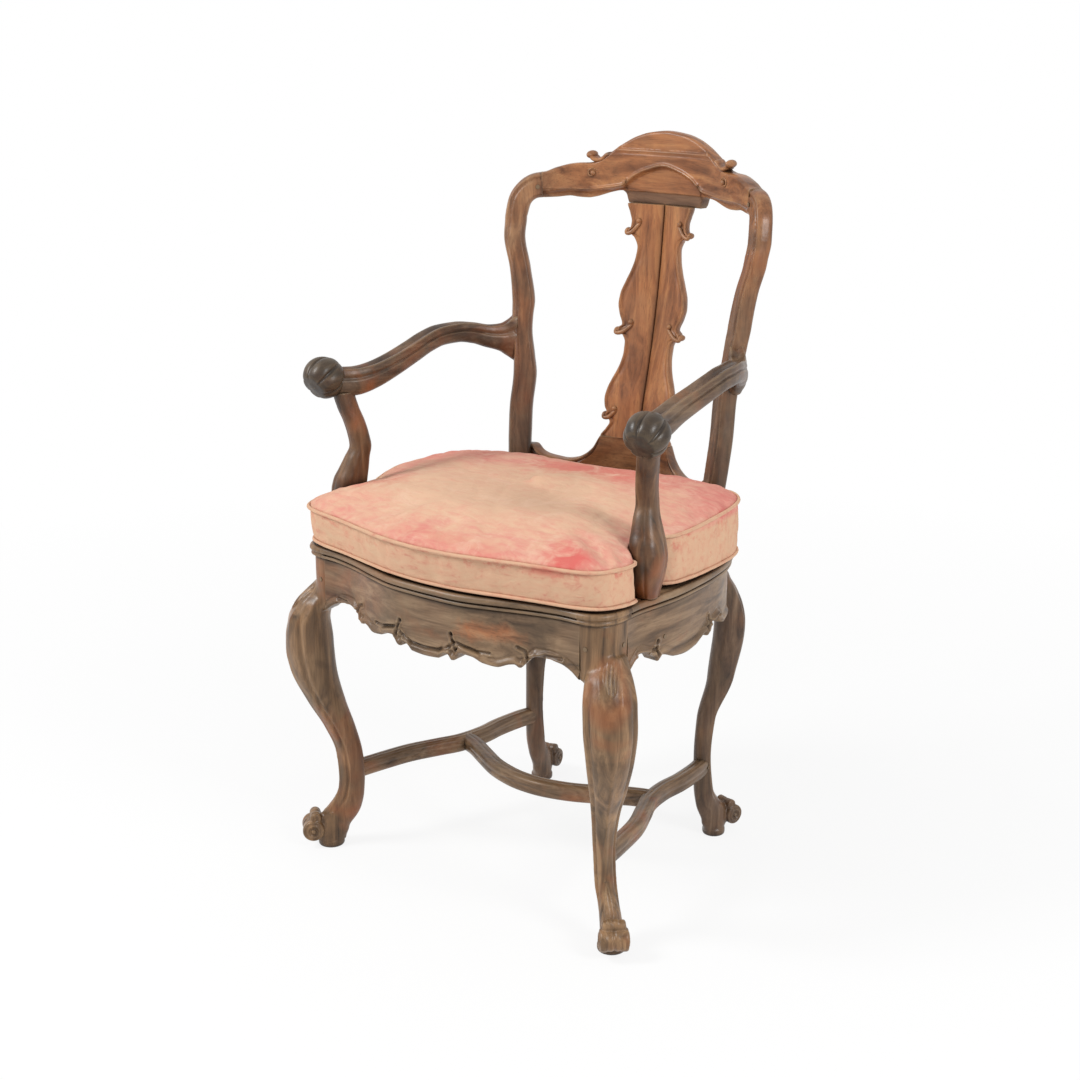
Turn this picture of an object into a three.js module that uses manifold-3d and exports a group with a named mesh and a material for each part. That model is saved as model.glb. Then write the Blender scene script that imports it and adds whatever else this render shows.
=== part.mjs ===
// A walnut open armchair with a carved crest, a vase splat, cabriole legs on scroll feet,
// a shaped stretcher, a caned seat and a loose box cushion. Millimetres, +Z up, facing -Y.
import * as THREE from 'three';
import { mergeVertices } from 'three/addons/utils/BufferGeometryUtils.js';
import Module from 'manifold-3d';

const wasm = await Module();
wasm.setup();

// Seat frame
const seatTop = 490;
const seatHalfWidth = 283;
const seatDepth = 466;
const railThickness = 34;
const apronDrop = 102;
const apronInset = 8;
const mouldHeight = 13;
const mouldRound = 3.5;
const rebateWidth = 9;
const rebateDepth = 4;
const frontPostWidth = 50;
const frontPostLength = 109;
const frontStockWidth = 24;
const frontStockDepth = 38;
const rearPostWidth = 50;
const rearPostDepth = 30;
const rearStockSet = 12;

// Legs: where each pad stands from the seat's side or end, and the plan angle that its foot points at
const frontPadInset = 15;
const frontPadBack = 82;
const frontLegAngle = -47;
const rearPadInset = 112;
const rearPadBack = 14;
const rearLegAngle = 78;
const frontLegHeight = 428;
const rearLegHeight = 444;
const frontKneeReach = 58;
const rearKneeReach = 41;
const frontKneeHalf = 36;
const rearKneeHalf = 25;
const frontCant = 8;
const rearCant = 31;
const padHeight = 9;
const padEase = 1;
const frontPadRadius = 18;
const rearPadRadius = 16.5;
const frontScrollReach = 42;
const rearScrollReach = 43;
const scrollRadius = 14.5;
const curlRadius = 10.5;
const scrollHalfWidth = 16.5;
const rearScrollScaleShare = 0.85;

// Back
const overallHeight = 1060;
const stileTurn = 33;
const stileDepth = 27;
const stileHalfWidth = 16.5;
const lowerSagPower = 1.3;
const crestSagPower = 2.5;
const crestThickness = 24;
const crestHeight = 110;
const crestBead = 3.5;
const splatHalfWidth = 62.5;
const splatThickness = 14;
const splatSet = 4;
const splatDish = 16;
const splatDishPower = 0.7;
const splatGroove = 2.4;
const lowRailLift = 38;
const lowRailHeight = 72;
const lowRailThickness = 19;
const lowRailSet = 2.5;
const earHalf = 4.2;
const volute = 4.6;

// Arms
const armHeight = 721;
const armHalfWidth = 15.5;
const armHalfHeight = 15.5;
const knuckleRadius = 30.5;
const armPostHalf = 20;

// Stretchers
const stretcherHeight = 122;
const stretcherHalfWidth = 12.3;
const stretcherHalfHeight = 13;

// Cushion and cane
const cushionBottomSeam = 6;
const cushionBorder = 51;
const cushionCrown = 31;
const cushionRise = 14;
const cushionSwell = 12;
const cushionOverhang = 16;
const cushionClear = 1.5;
const caneThickness = 2.6;
const caneMargin = 1.4;

// Joinery
const gap = 0.3;
const weldReach = 0.003;
const sliver = 0.05;
const railTenonLength = 20;
const railTenonThickness = 10;
const railTenonHeight = 46;
const crestTenonLength = 15;
const crestTenonThickness = 8;
const crestTenonHeight = 20;
const lowTenonLength = 16;
const lowTenonThickness = 8;
const lowTenonHeight = 30;
const splatTenonWidth = 22;
const splatTenonThickness = 6;
const splatTenonLength = 14;
const splatTenonSet = 7;
const armTenonRadius = 5;
const postTenonRadius = 5.5;
const postTenonLength = 24;
const stretcherTenonRadius = 6;
const stretcherTenonLength = 11;
const pegRadius = 3.2;
const railPegLength = 24;
const crestPegLength = 17;
const rearPegLift = 13;
const middlePegDrop = 12;
const frontPegFace = 14;
const rearPegFace = 12.5;
const stretcherPegLength = 22;
const pegHead = 0.8;

// Shares of a size, chosen by hand: the plan outline as half width and depth
const outlineShares = [
  [0, 0], [0.21, 0.005], [0.39, 0.034], [0.56, 0.068], [0.72, 0.09], [0.87, 0.096], [0.945, 0.122],
  [0.982, 0.18], [0.978, 0.276], [0.993, 0.37], [1, 0.45], [0.992, 0.545], [0.97, 0.66], [0.925, 0.775],
  [0.83, 0.885], [0.665, 0.96], [0.45, 0.99], [0, 1],
];
const cornerShares = [0.105, 0.125, 0.15, 0.18, 0.21];
const rearShares = [0.8, 0.85, 0.89, 0.925, 0.955, 0.98];
const behindShares = [0.4, 0.2];
const stationShare = 0.1;

// Apron depth against the place from the middle of each rail
const frontApronShares = [
  [0, 1], [0.09, 0.985], [0.14, 0.895], [0.165, 0.9], [0.192, 0.965], [0.21, 0.95], [0.245, 0.845],
  [0.32, 0.865], [0.385, 0.935], [0.455, 0.96], [0.525, 0.905], [0.555, 0.895], [0.582, 0.93],
  [0.625, 0.825], [0.67, 0.745], [0.74, 0.785], [0.81, 0.92], [1, 0.96],
];
const sideApronShares = [
  [0, 0.985], [0.2, 0.96], [0.42, 0.87], [0.46, 0.865], [0.51, 0.93], [0.56, 0.86], [0.66, 0.79],
  [0.78, 0.745], [0.88, 0.82], [1, 0.92],
];
const frontApronEndShare = 0.4;
const sideMiddleShare = 0.51;
const sideSpanShare = 0.275;
const backStartShare = 0.9;
const backDropShare = 0.82;

// Leg rows: height, offset along the foot, sideways lean, half depth, half width
const frontLegShares = [
  [0.02, 0, 0, 0.62, 0.52], [0.06, 0.02, 0, 0.8, 0.46], [0.105, -0.16, -0.1, 0.84, 0.43],
  [0.14, -0.36, -0.3, 0.72, 0.41], [0.2, -0.54, -0.7, 0.57, 0.4], [0.28, -0.6, -0.9, 0.52, 0.4],
  [0.36, -0.55, -1, 0.52, 0.44], [0.455, -0.335, -1, 0.6, 0.53], [0.555, -0.01, -0.9, 0.75, 0.7],
  [0.68, 0.3, -0.9, 0.92, 0.9], [0.785, 0.39, -1, 0.98, 1], [0.86, 0.4, -1.1, 0.9, 1],
  [0.93, 0.2, -1.1, 0.75, 0.9], [1, -0.1, -0.5, 0.5, 0.6],
];
const rearLegShares = [
  [0.02, 0, 0, 0.75, 0.62], [0.055, 0.1, 0, 1.15, 0.56], [0.09, -0.05, 0, 1.15, 0.56],
  [0.125, -0.35, 0, 0.9, 0.57],
  [0.185, -0.6, 0, 0.64, 0.6], [0.311, -0.7, 0, 0.56, 0.55], [0.443, -0.58, -0.03, 0.6, 0.6],
  [0.592, -0.1, -0.32, 0.85, 0.85], [0.742, -0.12, -0.79, 0.98, 0.98], [0.814, -0.19, -0.94, 0.96, 1],
  [0.874, -0.34, -0.99, 0.9, 0.96], [0.932, -0.62, -1, 0.84, 0.9], [1, -1.02, -0.99, 0.8, 0.85],
];

// Stile rows: height above the seat, width, depth and scale; the shoulder adds a lean
const stileShares = [
  [-0.0877, 0.64, 0.8691, 0.95], [0, 0.626, 0.8884, 1], [0.0965, 0.616, 0.9099, 1.04],
  [0.193, 0.627, 0.926, 1.1], [0.2632, 0.634, 0.9378, 1.1], [0.3404, 0.629, 0.9528, 1.1],
  [0.3947, 0.64, 0.9582, 1], [0.4579, 0.661, 0.9657, 0.9], [0.5, 0.67, 0.9721, 0.98],
  [0.5439, 0.677, 0.9828, 1.06], [0.6298, 0.707, 0.9871, 0.97], [0.7105, 0.751, 0.9914, 0.98],
  [0.7632, 0.758, 1.0043, 1.02],
];
const shoulderShares = [
  [0.807, 0.747, 1.0172, 20, 1.06], [0.8316, 0.723, 1.0365, 42, 1.1], [0.8439, 0.689, 1.0558, 64, 1.17],
  [0.8465, 0.65, 1.073, 84, 1.2], [0.8474, 0.608, 1.0901, 88, 1.2],
];

// Back surface: height above the seat and depth of its front face
const rakeShares = [
  [0, 0.8863], [0.1526, 1.0665], [0.2719, 1.0871], [0.351, 1.1094], [0.4434, 1.1348], [0.5615, 1.1609],
  [0.661, 1.1775], [0.7447, 1.1884], [0.807, 1.1955], [1, 1.1953],
];
const sagChangeShares = [0.507, 0.795];
const backSpreadShare = 0.8127;
const lowerSagShare = 0.2103;
const crestSagShare = 0.2082;
const crestLengthShare = 0.6572;
const lowRailLengthShare = 0.636;

// Crest rows: distance from the middle, lower edge, upper edge and bead line
const crestShares = [
  [0, 0, 1, 0.53], [0.16, 0, 0.97, 0.465], [0.285, 0, 0.905, 0.37],
  [0.345, 0, 0.855, 0.29], [0.36, 0.1, 0.84, 0.27],
  [0.4, 0.165, 0.8, 0.225], [0.5, 0.13, 0.675, 0.195],
  [0.56, 0.095, 0.6, 0.18], [0.625, 0.06, 0.5, 0.165],
  [0.68, 0.045, 0.48, 0.155], [0.75, 0.05, 0.5, 0.16],
  [0.81, 0.065, 0.495, 0.165], [0.91, 0.045, 0.44, 0.14],
  [1, 0.02, 0.365, 0.11],
];
const crestTenonShare = 0.19;
const earShares = [
  [0.52, 0.655, 0.9, 45], [0.58, 0.575, 1, 80], [0.63, 0.545, 1, 115],
  [0.675, 0.56, 1, 150], [0.7, 0.61, 0.85, 185],
];
const crestVoluteShares = [0.645, 0.39];

// Splat rows: height and half width; volutes at width and height
const splatShares = [
  [0, 1.02], [0.035, 0.89], [0.065, 0.8], [0.085, 0.87],
  [0.095, 0.95], [0.11, 0.905], [0.13, 0.963], [0.17, 1],
  [0.21, 0.963], [0.25, 0.88], [0.29, 0.78], [0.325, 0.715], [0.37, 0.675], [0.41, 0.68], [0.44, 0.76],
  [0.458, 0.93], [0.47, 0.91], [0.485, 0.81], [0.53, 0.907],
  [0.575, 0.966], [0.615, 0.944], [0.67, 0.832],
  [0.72, 0.715], [0.77, 0.632], [0.815, 0.602], [0.855, 0.69], [0.875, 0.83], [0.886, 0.89], [0.9, 0.816],
  [0.925, 0.8], [0.96, 0.856], [1, 0.93],
];
const splatVoluteShares = [[0.56, 0.935], [0.485, 0.5], [0.68, 0.11]];
const splatInnerShare = 0.55;

// Lower back rail rows: distance from the middle and top edge
const lowRailShares = [
  [0, 1], [0.34, 1], [0.365, 0.9], [0.4, 0.74],
  [0.475, 0.56], [0.56, 0.46], [0.645, 0.425], [0.735, 0.46],
  [0.82, 0.53], [0.87, 0.58], [0.92, 0.67], [1, 0.8],
];
const lowTenonShares = [0.9, 0.45];

// Arm rows: depth, width, height, half width and half height; the knuckle's place
const armShares = [
  [0.2532, 1.014, 0.9931, 0.75, 0.9], [0.2961, 0.986, 0.9903, 0.95, 1.1],
  [0.3391, 0.947, 0.9889, 1.05, 1.15],
  [0.4034, 0.917, 0.9945, 1, 1.08], [0.5, 0.905, 1.0097, 1, 0.98], [0.5858, 0.91, 1.025, 1, 0.96],
  [0.6609, 0.915, 1.0388, 1, 0.95], [0.7275, 0.91, 1.0472, 1, 0.94], [0.7961, 0.887, 1.0485, 0.95, 0.95],
  [0.8541, 0.852, 1.043, 0.92, 1], [0.9034, 0.809, 1.0333, 0.9, 1.12], [0.9592, 0.746, 1.0277, 0.88, 1.4],
];
const knuckleShares = [1.0195, 0.2532];
const knuckleFluteShare = 0.045;
const armTenonShare = 0.94;

// Arm post rows: height from seat to arm, width, depth and scale
const armPostShares = [
  [0, 0.94, 0.338, 0.82], [0.0649, 0.945, 0.333, 0.98], [0.1515, 0.958, 0.324, 1.18],
  [0.2511, 0.966, 0.317, 1.31], [0.329, 0.956, 0.319, 1.27], [0.3983, 0.943, 0.327, 1.12],
  [0.4719, 0.93, 0.335, 0.95], [0.5455, 0.92, 0.3455, 0.82], [0.6234, 0.924, 0.3391, 0.8],
  [0.7143, 0.936, 0.3283, 0.8], [0.8009, 0.954, 0.3155, 0.8], [0.9, 0.967, 0.307, 0.8],
];
const armPostSlimShare = 0.85;
const postFootShares = [0.93, 0.335];
const postTopShares = [0.965, 0.308];

// Stretcher routes in plan, between the leg centres
const sideRoute = [
  [0.82, 0.3026], [0.77, 0.4356], [0.7, 0.5386], [0.643, 0.618],
  [0.618, 0.7146], [0.622, 0.8047], [0.608, 0.9077],
];
const crossRoute = [
  [0.615, 0.64], [0.53, 0.6202], [0.406, 0.5773], [0.261, 0.53], [0.113, 0.5021], [0, 0.4957],
];

// Cushion outlines, front to back: with the notch for the arm post, and the smooth crown inside it
const cushionShares = [
  [0, 0.006], [0.22, 0.016], [0.42, 0.042], [0.62, 0.07], [0.8, 0.09], [0.92, 0.118], [0.972, 0.175],
  [0.985, 0.25], [0.91, 0.275], [0.842, 0.325], [0.845, 0.4], [0.91, 0.45], [0.975, 0.495], [0.99, 0.58],
  [0.985, 0.69], [0.965, 0.77], [0.915, 0.84], [0.83, 0.885],
  [0.75, 0.882], [0.65, 0.85], [0.5, 0.91], [0, 0.945],
];
const crownShares = [
  [0, 0.006], [0.22, 0.016], [0.42, 0.042], [0.62, 0.07], [0.8, 0.09], [0.92, 0.118], [0.965, 0.175],
  [0.972, 0.25], [0.965, 0.29], [0.97, 0.34], [0.97, 0.4], [0.97, 0.45], [0.975, 0.495], [0.98, 0.58],
  [0.975, 0.69], [0.955, 0.77], [0.905, 0.845], [0.82, 0.89],
  [0.73, 0.905], [0.63, 0.915], [0.5, 0.93], [0, 0.945],
];
const cushionSideShares = [
  [0.93, 0], [0.975, 0.03], [0.988, 0.12], [0.978, 0.18], [1.003, 0.55], [0.992, 0.92], [1.004, 1],
];
const cushionTopShares = [
  [0.985, 0.12, 0], [0.93, 0.42, 0.45], [0.8, 0.72, 0.85], [0.55, 0.94, 1], [0.25, 1, 1],
];
const cushionRiseShares = [0.22, 0.42];
const cushionSwellShares = [[0.5, 0.85], [0.1, 0.75]];
const cushionSteps = 30;

// Counts of stations and sides, and the squareness of each kind of section
const legSides = 10;
const legSquareness = 1.75;
const stileSteps = 16;
const postSides = 10;
const postSquareness = 3.2;
const crestSteps = 40;
const splatSteps = 40;
const lowRailSteps = 26;
const armSteps = 17;
const armSides = 10;
const armSquareness = 2.5;
const knuckleRows = 8;
const knuckleSides = 16;
const armPostSteps = 12;
const sideSteps = 12;
const crossSteps = 16;
const roundSides = 8;
const halvings = 30;
const frontRows = 6;
const sideRows = 12;
const rearRows = 15;
const holeShare = 12;

// Further shares: scroll rims and lifts, rear post, stock, tenon aim, where the cross piece starts
const scrollRimShares = [[-1, 0.8], [-0.75, 1], [0.75, 1], [1, 0.8]];
const scrollLiftShares = [1.3, 2.7];
const curlWidthShare = 0.85;
const rearPostShares = [0.676, 0.921];
const stockDropShare = 0.88;
const tenonAimShare = 0.1;
const crossMeetShare = 0.53;
const middlePegShare = 0.4;

const walnut = { color: 0x7a6250, roughness: 0.5, metalness: 0 };
const warmWalnut = { color: 0xa5694a, roughness: 0.45, metalness: 0 };
const pegWood = { color: 0x4a3628, roughness: 0.6, metalness: 0 };
const velvet = { color: 0xdf9a88, roughness: 0.95, metalness: 0 };
const cane = { color: 0xc9a66b, roughness: 0.8, metalness: 0 };

const point = (x, y, z) => new THREE.Vector3(x, y, z);
const rad = THREE.MathUtils.degToRad;
const upright = point(0, 1, 0);
const upward = point(0, 0, 1);
const seatFrontY = -seatDepth / 2;
const backSpread = seatHalfWidth * backSpreadShare;
const lowerSag = seatDepth * lowerSagShare;
const crestSag = seatDepth * crestSagShare;
const crestHalfLength = seatHalfWidth * crestLengthShare;
const lowRailHalfLength = seatHalfWidth * lowRailLengthShare;

// Height above the seat as a share of the rise of the back
const rise = (share) => seatTop + share * (overallHeight - seatTop);

// Place in plan from shares of the seat's half width and depth
const plan = (sx, sy, z = 0) => point(sx * seatHalfWidth, seatFrontY + sy * seatDepth, z);

// Smooth value at a place in a table of [place, value, value...] rows, flat beyond its ends
function follow(table, place) {
  const last = table.length - 1;
  if (place <= table[0][0]) return table[0].slice(1);
  if (place >= table[last][0]) return table[last].slice(1);
  let i = 0;
  while (table[i + 1][0] < place) i += 1;
  const slope = (k, c) => {
    if (k === 0 || k === last) return 0;
    const before = (table[k][c] - table[k - 1][c]) / (table[k][0] - table[k - 1][0]);
    const after = (table[k + 1][c] - table[k][c]) / (table[k + 1][0] - table[k][0]);
    return before * after <= 0 ? 0 : (2 * before * after) / (before + after);
  };
  const span = table[i + 1][0] - table[i][0];
  const t = (place - table[i][0]) / span;
  const out = [];
  for (let c = 1; c < table[i].length; c += 1) {
    const rise = table[i + 1][c] - table[i][c];
    const a = slope(i, c) * span;
    const b = slope(i + 1, c) * span;
    out.push(table[i][c] + a * t + (3 * rise - 2 * a - b) * t * t + (a + b - 2 * rise) * t * t * t);
  }
  return out;
}

// Closed body from rings of points with equal counts: end to end, or round on itself
function bodyFromRings(rings, wraps = false) {
  const count = rings[0].length;
  const places = [];
  const faces = [];
  rings.forEach((ring) => ring.forEach((p) => places.push(p.x, p.y, p.z)));
  const turns = wraps ? rings.length : rings.length - 1;
  for (let i = 0; i < turns; i += 1) {
    const a = i * count;
    const b = ((i + 1) % rings.length) * count;
    for (let j = 0; j < count; j += 1) {
      const k = (j + 1) % count;
      faces.push(a + j, a + k, b + k, a + j, b + k, b + j);
    }
  }
  if (!wraps) {
    [0, rings.length - 1].forEach((end, side) => {
      const middle = new THREE.Vector3();
      rings[end].forEach((p) => middle.add(p));
      middle.divideScalar(count);
      const hub = places.length / 3;
      places.push(middle.x, middle.y, middle.z);
      for (let j = 0; j < count; j += 1) {
        const a = end * count + j;
        const b = end * count + (j + 1) % count;
        if (side === 0) faces.push(hub, b, a);
        else faces.push(hub, a, b);
      }
    });
  }
  let volume = 0;
  const at = (i) => point(places[3 * i], places[3 * i + 1], places[3 * i + 2]);
  for (let i = 0; i < faces.length; i += 3) {
    volume += at(faces[i]).dot(at(faces[i + 1]).cross(at(faces[i + 2])));
  }
  if (volume < 0) faces.reverse();
  const geometry = new THREE.BufferGeometry();
  geometry.setAttribute('position', new THREE.Float32BufferAttribute(places, 3));
  geometry.setIndex(faces);
  return geometry;
}

// Solids for cutting and joining, and back to a geometry for a mesh
function toSolid(geometry) {
  const bare = geometry.clone();
  bare.deleteAttribute('normal');
  bare.deleteAttribute('uv');
  const whole = mergeVertices(bare, weldReach);
  return new wasm.Manifold(new wasm.Mesh({
    numProp: 3,
    vertProperties: new Float32Array(whole.attributes.position.array),
    triVerts: new Uint32Array(whole.index.array),
  }));
}

function toGeometry(solid) {
  const mesh = solid.getMesh();
  const geometry = new THREE.BufferGeometry();
  geometry.setAttribute('position', new THREE.Float32BufferAttribute(mesh.vertProperties, 3));
  geometry.setIndex(Array.from(mesh.triVerts));
  geometry.computeVertexNormals();
  return geometry;
}

const join = (...solids) => solids.reduce((a, b) => a.add(b));
const cut = (solid, ...tools) => tools.reduce((a, b) => a.subtract(b), solid);

// Box with its own turn about Z, then moved
function block(size, centre, turn = 0) {
  const geometry = new THREE.BoxGeometry(size.x, size.y, size.z);
  geometry.rotateZ(turn);
  geometry.translate(centre.x, centre.y, centre.z);
  return toSolid(geometry);
}

// Round bar between two points
function bar(radius, from, to) {
  const along = to.clone().sub(from);
  const geometry = new THREE.CylinderGeometry(radius, radius, along.length(), roundSides);
  geometry.applyQuaternion(new THREE.Quaternion().setFromUnitVectors(upright, along.clone().normalize()));
  const middle = from.clone().add(to).divideScalar(2);
  geometry.translate(middle.x, middle.y, middle.z);
  return toSolid(geometry);
}

// Rounded section: a squared oval of the given half sizes
function oval(halfA, halfB, squareness, count) {
  const ring = [];
  for (let i = 0; i < count; i += 1) {
    const t = (Math.PI * (2 * i + 1)) / count;
    const c = Math.cos(t);
    const s = Math.sin(t);
    const reach = (Math.abs(c) ** squareness + Math.abs(s) ** squareness) ** (-1 / squareness);
    ring.push([halfA * c * reach, halfB * s * reach]);
  }
  return ring;
}

// Section of a sweep: a centre, the two section axes and the section's points
const station = (centre, axisA, axisB, section) => section.map(([a, b]) => (
  centre.clone().addScaledVector(axisA, a).addScaledVector(axisB, b)
));

function mirrored(solid) {
  const geometry = toGeometry(solid);
  geometry.deleteAttribute('normal');
  geometry.scale(-1, 1, 1);
  geometry.setIndex(Array.from(geometry.index.array).reverse());
  return toSolid(geometry);
}

const bothSides = (solid) => join(solid, mirrored(solid));

// Round bar grown on all sides, its ends as well
function longBar(radius, from, to, grow = 0) {
  const along = to.clone().sub(from).normalize().multiplyScalar(grow);
  return bar(radius + grow, from.clone().sub(along), to.clone().add(along));
}

// Right half of the seat's plan outline, from front to back
const outlineCurve = new THREE.SplineCurve(outlineShares.map(([x, y]) => {
  const p = plan(x, y);
  return new THREE.Vector2(p.x, p.y);
}));
const outlineRows = outlineShares.length - 1;

// Place along the outline where a measure of its point reaches a value
function placeAt(measure, value, fromRow, toRow) {
  let low = fromRow / outlineRows;
  let high = toRow / outlineRows;
  const rising = measure(outlineCurve.getPoint(high)) > measure(outlineCurve.getPoint(low));
  for (let i = 0; i < halvings; i += 1) {
    const middle = (low + high) / 2;
    if ((measure(outlineCurve.getPoint(middle)) < value) === rising) low = middle;
    else high = middle;
  }
  return (low + high) / 2;
}

// Point of the outline and the way inward from it
function edgeAt(place) {
  const p = outlineCurve.getPoint(place);
  const t = outlineCurve.getTangent(place);
  const ends = place === 0 || place === 1;
  if (place === 0) t.set(1, 0);
  if (place === 1) t.set(-1, 0);
  return { edge: point(ends ? 0 : p.x, p.y, 0), inward: point(-t.y, t.x, 0) };
}

// Places of a table's rows, with more between rows that stand far apart
function dense(table) {
  const places = [table[0][0]];
  for (let i = 1; i < table.length; i += 1) {
    const from = table[i - 1][0];
    const to = table[i][0];
    const pieces = Math.ceil((to - from) / stationShare);
    for (let k = 1; k <= pieces; k += 1) places.push(from + ((to - from) * k) / pieces);
  }
  return places;
}

const frontApronEnd = seatHalfWidth - frontPostWidth * (1 - frontApronEndShare);
const sideMiddle = seatFrontY + seatDepth * sideMiddleShare;
const sideHalf = seatDepth * sideSpanShare;

// Stations round the right half of the seat, close together where the apron is scalloped
function stations() {
  const across = (p) => p.x;
  const along = (p) => p.y;
  const front = dense(frontApronShares).map((s) => placeAt(across, s * frontApronEnd, 0, frontRows));
  const atDepth = (share) => placeAt(along, seatFrontY + share * seatDepth, frontRows - 1, outlineRows);
  const sides = dense(sideApronShares);
  const side = sides.slice(1).reverse().map((s) => -s).concat(sides);
  const rearX = (s) => placeAt(across, s * seatHalfWidth, rearRows, outlineRows);
  return [0].concat(
    front.slice(1), cornerShares.map(atDepth),
    side.map((s) => placeAt(along, sideMiddle + s * sideHalf, frontRows - 1, outlineRows)),
    rearShares.map(atDepth), behindShares.map(rearX), [1],
  );
}

// Depth of the apron below the seat top, from the place on the outline
function apronDepth(x, y) {
  if (y > seatFrontY + seatDepth * backStartShare) return apronDrop * backDropShare;
  if (y < sideMiddle - sideHalf && x < frontApronEnd) {
    return apronDrop * follow(frontApronShares, x / frontApronEnd)[0];
  }
  return apronDrop * follow(sideApronShares, Math.abs(y - sideMiddle) / sideHalf)[0];
}

// Rail section: distance inward from the moulded edge, and height from the seat top
function railSection(drop) {
  const inner = railThickness - rebateWidth;
  return [
    [mouldRound, 0], [0, -mouldRound], [0, -mouldHeight / 2],
    [apronInset / 2, -mouldHeight + mouldRound / 2], [apronInset, -mouldHeight - mouldRound / 2],
    [apronInset, -drop + mouldRound], [apronInset + mouldRound, -drop],
    [railThickness, -drop], [railThickness, -rebateDepth], [inner, -rebateDepth], [inner, 0],
  ];
}

// Seat frame as one ring, which the corner posts then divide into rails
function seatRing() {
  const places = stations();
  const section = (place, side) => {
    const { edge, inward } = edgeAt(place);
    return railSection(apronDepth(edge.x, edge.y)).map(([d, z]) => (
      point(side * (edge.x + inward.x * d), edge.y + inward.y * d, seatTop + z)
    ));
  };
  const right = places.map((p) => section(p, 1));
  const left = places.slice(1, -1).reverse().map((p) => section(p, -1));
  return toSolid(bodyFromRings(right.concat(left), true));
}

// The two kinds of leg
const frontLegKind = {
  rows: frontLegShares,
  foot: point(seatHalfWidth - frontPadInset, seatFrontY + frontPadBack, 0),
  angle: frontLegAngle,
  height: frontLegHeight,
  reach: frontKneeReach,
  half: frontKneeHalf,
  cant: frontCant,
  padRadius: frontPadRadius,
  scrollReach: frontScrollReach,
  scrollShare: 1,
};
const rearLegKind = {
  rows: rearLegShares,
  foot: point(seatHalfWidth - rearPadInset, seatFrontY + seatDepth + rearPadBack, 0),
  angle: rearLegAngle,
  height: rearLegHeight,
  reach: rearKneeReach,
  half: rearKneeHalf,
  cant: rearCant,
  padRadius: rearPadRadius,
  scrollReach: rearScrollReach,
  scrollShare: rearScrollScaleShare,
};

// Directions of a leg: the way its foot points, and across it
function legAxes(kind) {
  const out = point(Math.cos(rad(kind.angle)), Math.sin(rad(kind.angle)), 0);
  return [out, point(-out.y, out.x, 0)];
}

function legCentre(kind, share) {
  const [out, across] = legAxes(kind);
  const [offset, lean] = follow(kind.rows, share);
  return kind.foot.clone().addScaledVector(out, offset * kind.reach)
    .addScaledVector(across, lean * kind.cant).setZ(share * kind.height);
}

function cabrioleLeg(kind, grow = 0) {
  const [out, across] = legAxes(kind);
  const rings = dense(kind.rows).map((share) => {
    const [, , depth, width] = follow(kind.rows, share);
    const section = oval(depth * kind.half + grow, width * kind.half + grow, legSquareness, legSides);
    return station(legCentre(kind, share), out, across, section);
  });
  return toSolid(bodyFromRings(rings));
}

// Foot: a round pad with two scrolls rolled up over its front
function scrollFoot(kind) {
  const [out, across] = legAxes(kind);
  const padRings = [0, 1].map((k) => station(
    kind.foot.clone().setZ(k * (padHeight + mouldRound)), out, across,
    oval(kind.padRadius - k * padEase, kind.padRadius - k * padEase, 2, legSides),
  ));
  const size = kind.scrollShare;
  const scroll = (radius, z, halfWidth) => {
    const middle = kind.foot.clone().addScaledVector(out, kind.scrollReach - radius).setZ(z);
    const rim = scrollRimShares.map(([along, scale]) => station(
      middle.clone().addScaledVector(across, along * halfWidth), out, upward,
      oval(radius * scale, radius * scale, 2, legSides),
    ));
    return toSolid(bodyFromRings(rim));
  };
  const lowerZ = padHeight + scrollRadius * size * scrollLiftShares[0];
  const upperZ = padHeight + scrollRadius * size * scrollLiftShares[1];
  return join(
    toSolid(bodyFromRings(padRings)), scroll(scrollRadius * size, lowerZ, scrollHalfWidth * size),
    scroll(curlRadius * size, upperZ, scrollHalfWidth * size * curlWidthShare),
  );
}

// Back surface: depth of its front face at a width and a height
function backY(x, z) {
  const share = (z - seatTop) / (overallHeight - seatTop);
  const middle = seatFrontY + seatDepth * follow(rakeShares, share)[0];
  const ease = THREE.MathUtils.smoothstep(share, sagChangeShares[0], sagChangeShares[1]);
  const sag = THREE.MathUtils.lerp(lowerSag, crestSag, ease);
  const power = THREE.MathUtils.lerp(lowerSagPower, crestSagPower, ease);
  return middle - sag * (Math.abs(x) / backSpread) ** power;
}

// Directions of the rear posts: across their turned faces, and back through them
const stileFace = point(Math.cos(rad(stileTurn)), -Math.sin(rad(stileTurn)), 0);
const stileBack = point(Math.sin(rad(stileTurn)), Math.cos(rad(stileTurn)), 0);

function stileCentre(share) {
  const [x, y] = follow(stileShares, share);
  return plan(x, y, rise(share)).addScaledVector(stileBack, stileDepth / 2);
}

// Stile: a straight-sided sweep up to the shoulder, which leans in to the crest
function stile(grow = 0) {
  const rings = [];
  const first = stileShares[0][0];
  const last = stileShares[stileShares.length - 1][0];
  const section = (scale) => oval(
    stileHalfWidth * scale + grow, stileDepth / 2 + grow, postSquareness, postSides,
  );
  for (let i = 0; i <= stileSteps; i += 1) {
    const share = first + ((last - first) * i) / stileSteps;
    const scale = follow(stileShares, share)[2];
    rings.push(station(stileCentre(share), stileFace, stileBack, section(scale)));
  }
  shoulderShares.forEach(([share, x, y, lean, scale]) => {
    const centre = plan(x, y, rise(share)).addScaledVector(stileBack, stileDepth / 2);
    const width = stileFace.clone().multiplyScalar(Math.cos(rad(lean)));
    width.addScaledVector(upward, Math.sin(rad(lean)));
    rings.push(station(centre, width, stileBack, section(scale)));
  });
  return toSolid(bodyFromRings(rings));
}

const crestBase = overallHeight - crestHeight;

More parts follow.
